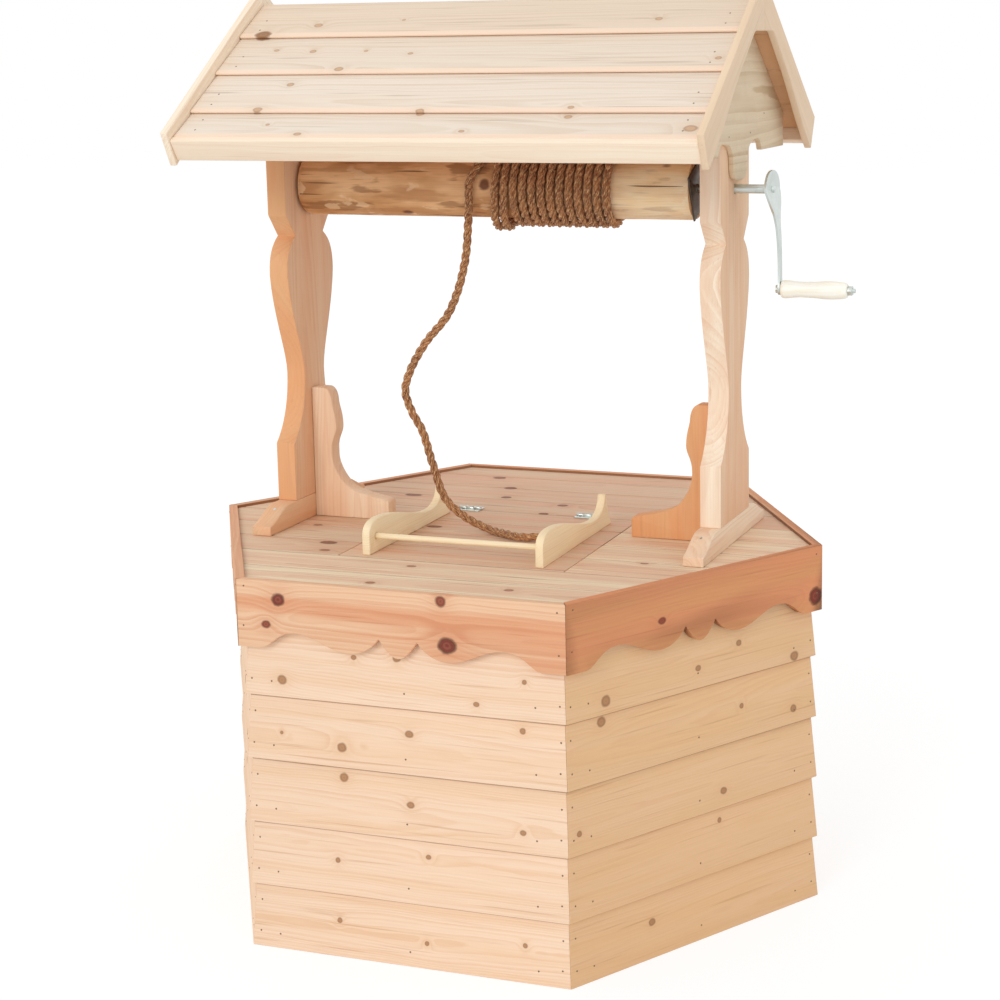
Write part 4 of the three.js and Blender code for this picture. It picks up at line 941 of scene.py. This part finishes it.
# Nails and screws
# Small domed nails fix the cladding, the rim boards, the roof boards and the gable boards. Bright
# screws hold the foot cleats, and dull ones the leaves of the hinges.
steel = Finish("nail_steel", {"Metallic": 0.3})
steel_grain = steel.cloud(steel.place(), 900.0)
steel.set("Base Color", steel.mix(steel_grain, tone(150, 122, 96), tone(108, 86, 66)))
steel.set("Roughness", 0.45 + 0.25 * steel_grain)


def head_plan(name, radius, stand, finish):
    """Low domed heads on points, each turned to face along its point's own direction."""
    plan = Plan(name, {"Head radius": radius, "Head stand": stand, "Head sides": 10})
    head = plan.add("GeometryNodeMeshCone", {}, {
        "Vertices": plan.size("Head sides"), "Radius Top": plan.size("Head radius") * 0.55,
        "Radius Bottom": plan.size("Head radius"), "Depth": plan.size("Head stand")})
    facing = plan.add("GeometryNodeInputNamedAttribute", {"data_type": "FLOAT_VECTOR"}, ["facing"])
    turn = plan.add("FunctionNodeAlignRotationToVector", {"axis": "Z"}, {"Vector": facing})
    fixed = plan.add("GeometryNodeInstanceOnPoints", {}, {
        "Points": plan.start, "Instance": head, "Rotation": turn})
    plan.close(fixed, finish)
    return plan


def heads(plan, name, places, body):
    """`places` are pairs of a point on a face and the way that the face looks."""
    mesh = bpy.data.meshes.new(name)
    mesh.from_pydata([p for p, way in places], [], [])
    facing = mesh.attributes.new("facing", "FLOAT_VECTOR", "POINT")
    facing.data.foreach_set("vector", [value for p, way in places for value in way])
    piece = plan.make(name, mesh)
    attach(piece, body)


step_back = 0.2


def on_face(node, spots, way):
    """Where straight lines against `way`, through points outside, first meet a solid, and how it faces."""
    solid = nodes[node].data
    tree = BVHTree.FromPolygons([v.co for v in solid.vertices], [tuple(f.vertices) for f in solid.polygons])
    hits = [tree.ray_cast(spot + way * step_back, -way) for spot in spots]
    return [(place, facing) for place, facing, face, distance in hits if place]


# Nails as (along the side, up from the board's lower edge or, on the rim, from the ground).
nail_plan = head_plan("nail_heads", 0.0017, 0.0006, steel)
clad_nail_places = ((-0.283, 0.028), (0.283, 0.03), (-0.281, 0.084), (0.283, 0.082), (-0.245, 0.026),
                    (0.24, 0.024), (0.004, 0.026))
rim_nail_places = ((-0.285, 0.655), (-0.288, 0.585), (0.285, 0.652), (0.287, 0.58))
clad_nails, rim_nails, roof_nails = [], [], []
outside, under_rim, above_roof, outside_gable = 0.55, 0.05, 0.1, 0.6
for side, outward, along_side in sides:
    places = [(shift, k * clad_exposure + height) for k in range(5) for shift, height in clad_nail_places
              if k < 4 or height < under_rim]
    for part, found, spots in ((f"wall_panel_{side + 1}", clad_nails, places),
                               (f"rim_board_{side + 1}", rim_nails, rim_nail_places)):
        found += on_face(part, [outward * outside + along_side * shift + Vector((0, 0, height))
                                for shift, height in spots], outward)
roof_lips = (0.1105, 0.2255, 0.3405, 0.4145)
roof_nail_x, roof_nail_backs = 0.444, (0.022, 0.055)
gable_nail_places = ((0.0625, 1.3952), (-0.0764, 1.3935), (0.1569, 1.4261))
for name, down_slope, skyward in slopes:
    for k, lip in enumerate(roof_lips):
        spots = [Vector((x, 0, ridge_z)) + down_slope * (lip - back) + skyward * above_roof
                 for x in (-roof_nail_x, roof_nail_x) for back in roof_nail_backs]
        roof_nails += on_face(f"roof_board_{name}_{k + 1}", spots, skyward)
for end, s in (("left", -1), ("right", 1)):
    spots = [Vector((s * outside_gable, y, z)) for y, z in gable_nail_places]
    roof_nails += on_face(f"gable_board_{end}", spots, Vector((s, 0, 0)))
for name, nails in (("cladding_nails", clad_nails), ("rim_nails", rim_nails), ("roof_nails", roof_nails)):
    heads(nail_plan, name, nails, "well")

screw_plan = head_plan("screw_heads", 0.0034, 0.0005, zinc)
cleat_screws = []
above_deck, cleat_screw_y = 0.9, 0.147
for end, x in (("left", -0.4194), ("right", 0.4176)):
    spots = [Vector((x, y, above_deck)) for y in (-cleat_screw_y, cleat_screw_y)]
    cleat_screws += on_face(f"foot_cleat_{end}", spots, up)
hinge_plan = head_plan("hinge_screws", 0.0024, 0.0005, steel)
leaf_screw_shares = (0.22, 0.78)
for leaf, body in (("hinge_fixed", "well"), ("hinge_moving", "hatch")):
    leaf_screws = []
    for end in ("left", "right"):
        low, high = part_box(f"{leaf}_{end}")
        spots = [Vector((low.x + (high.x - low.x) * share, (low.y + high.y) / 2, above_deck))
                 for share in leaf_screw_shares]
        leaf_screws += on_face(f"{leaf}_{end}", spots, up)
    heads(hinge_plan, f"{leaf}_screws", leaf_screws, body)
heads(screw_plan, "cleat_screws", cleat_screws, "well")
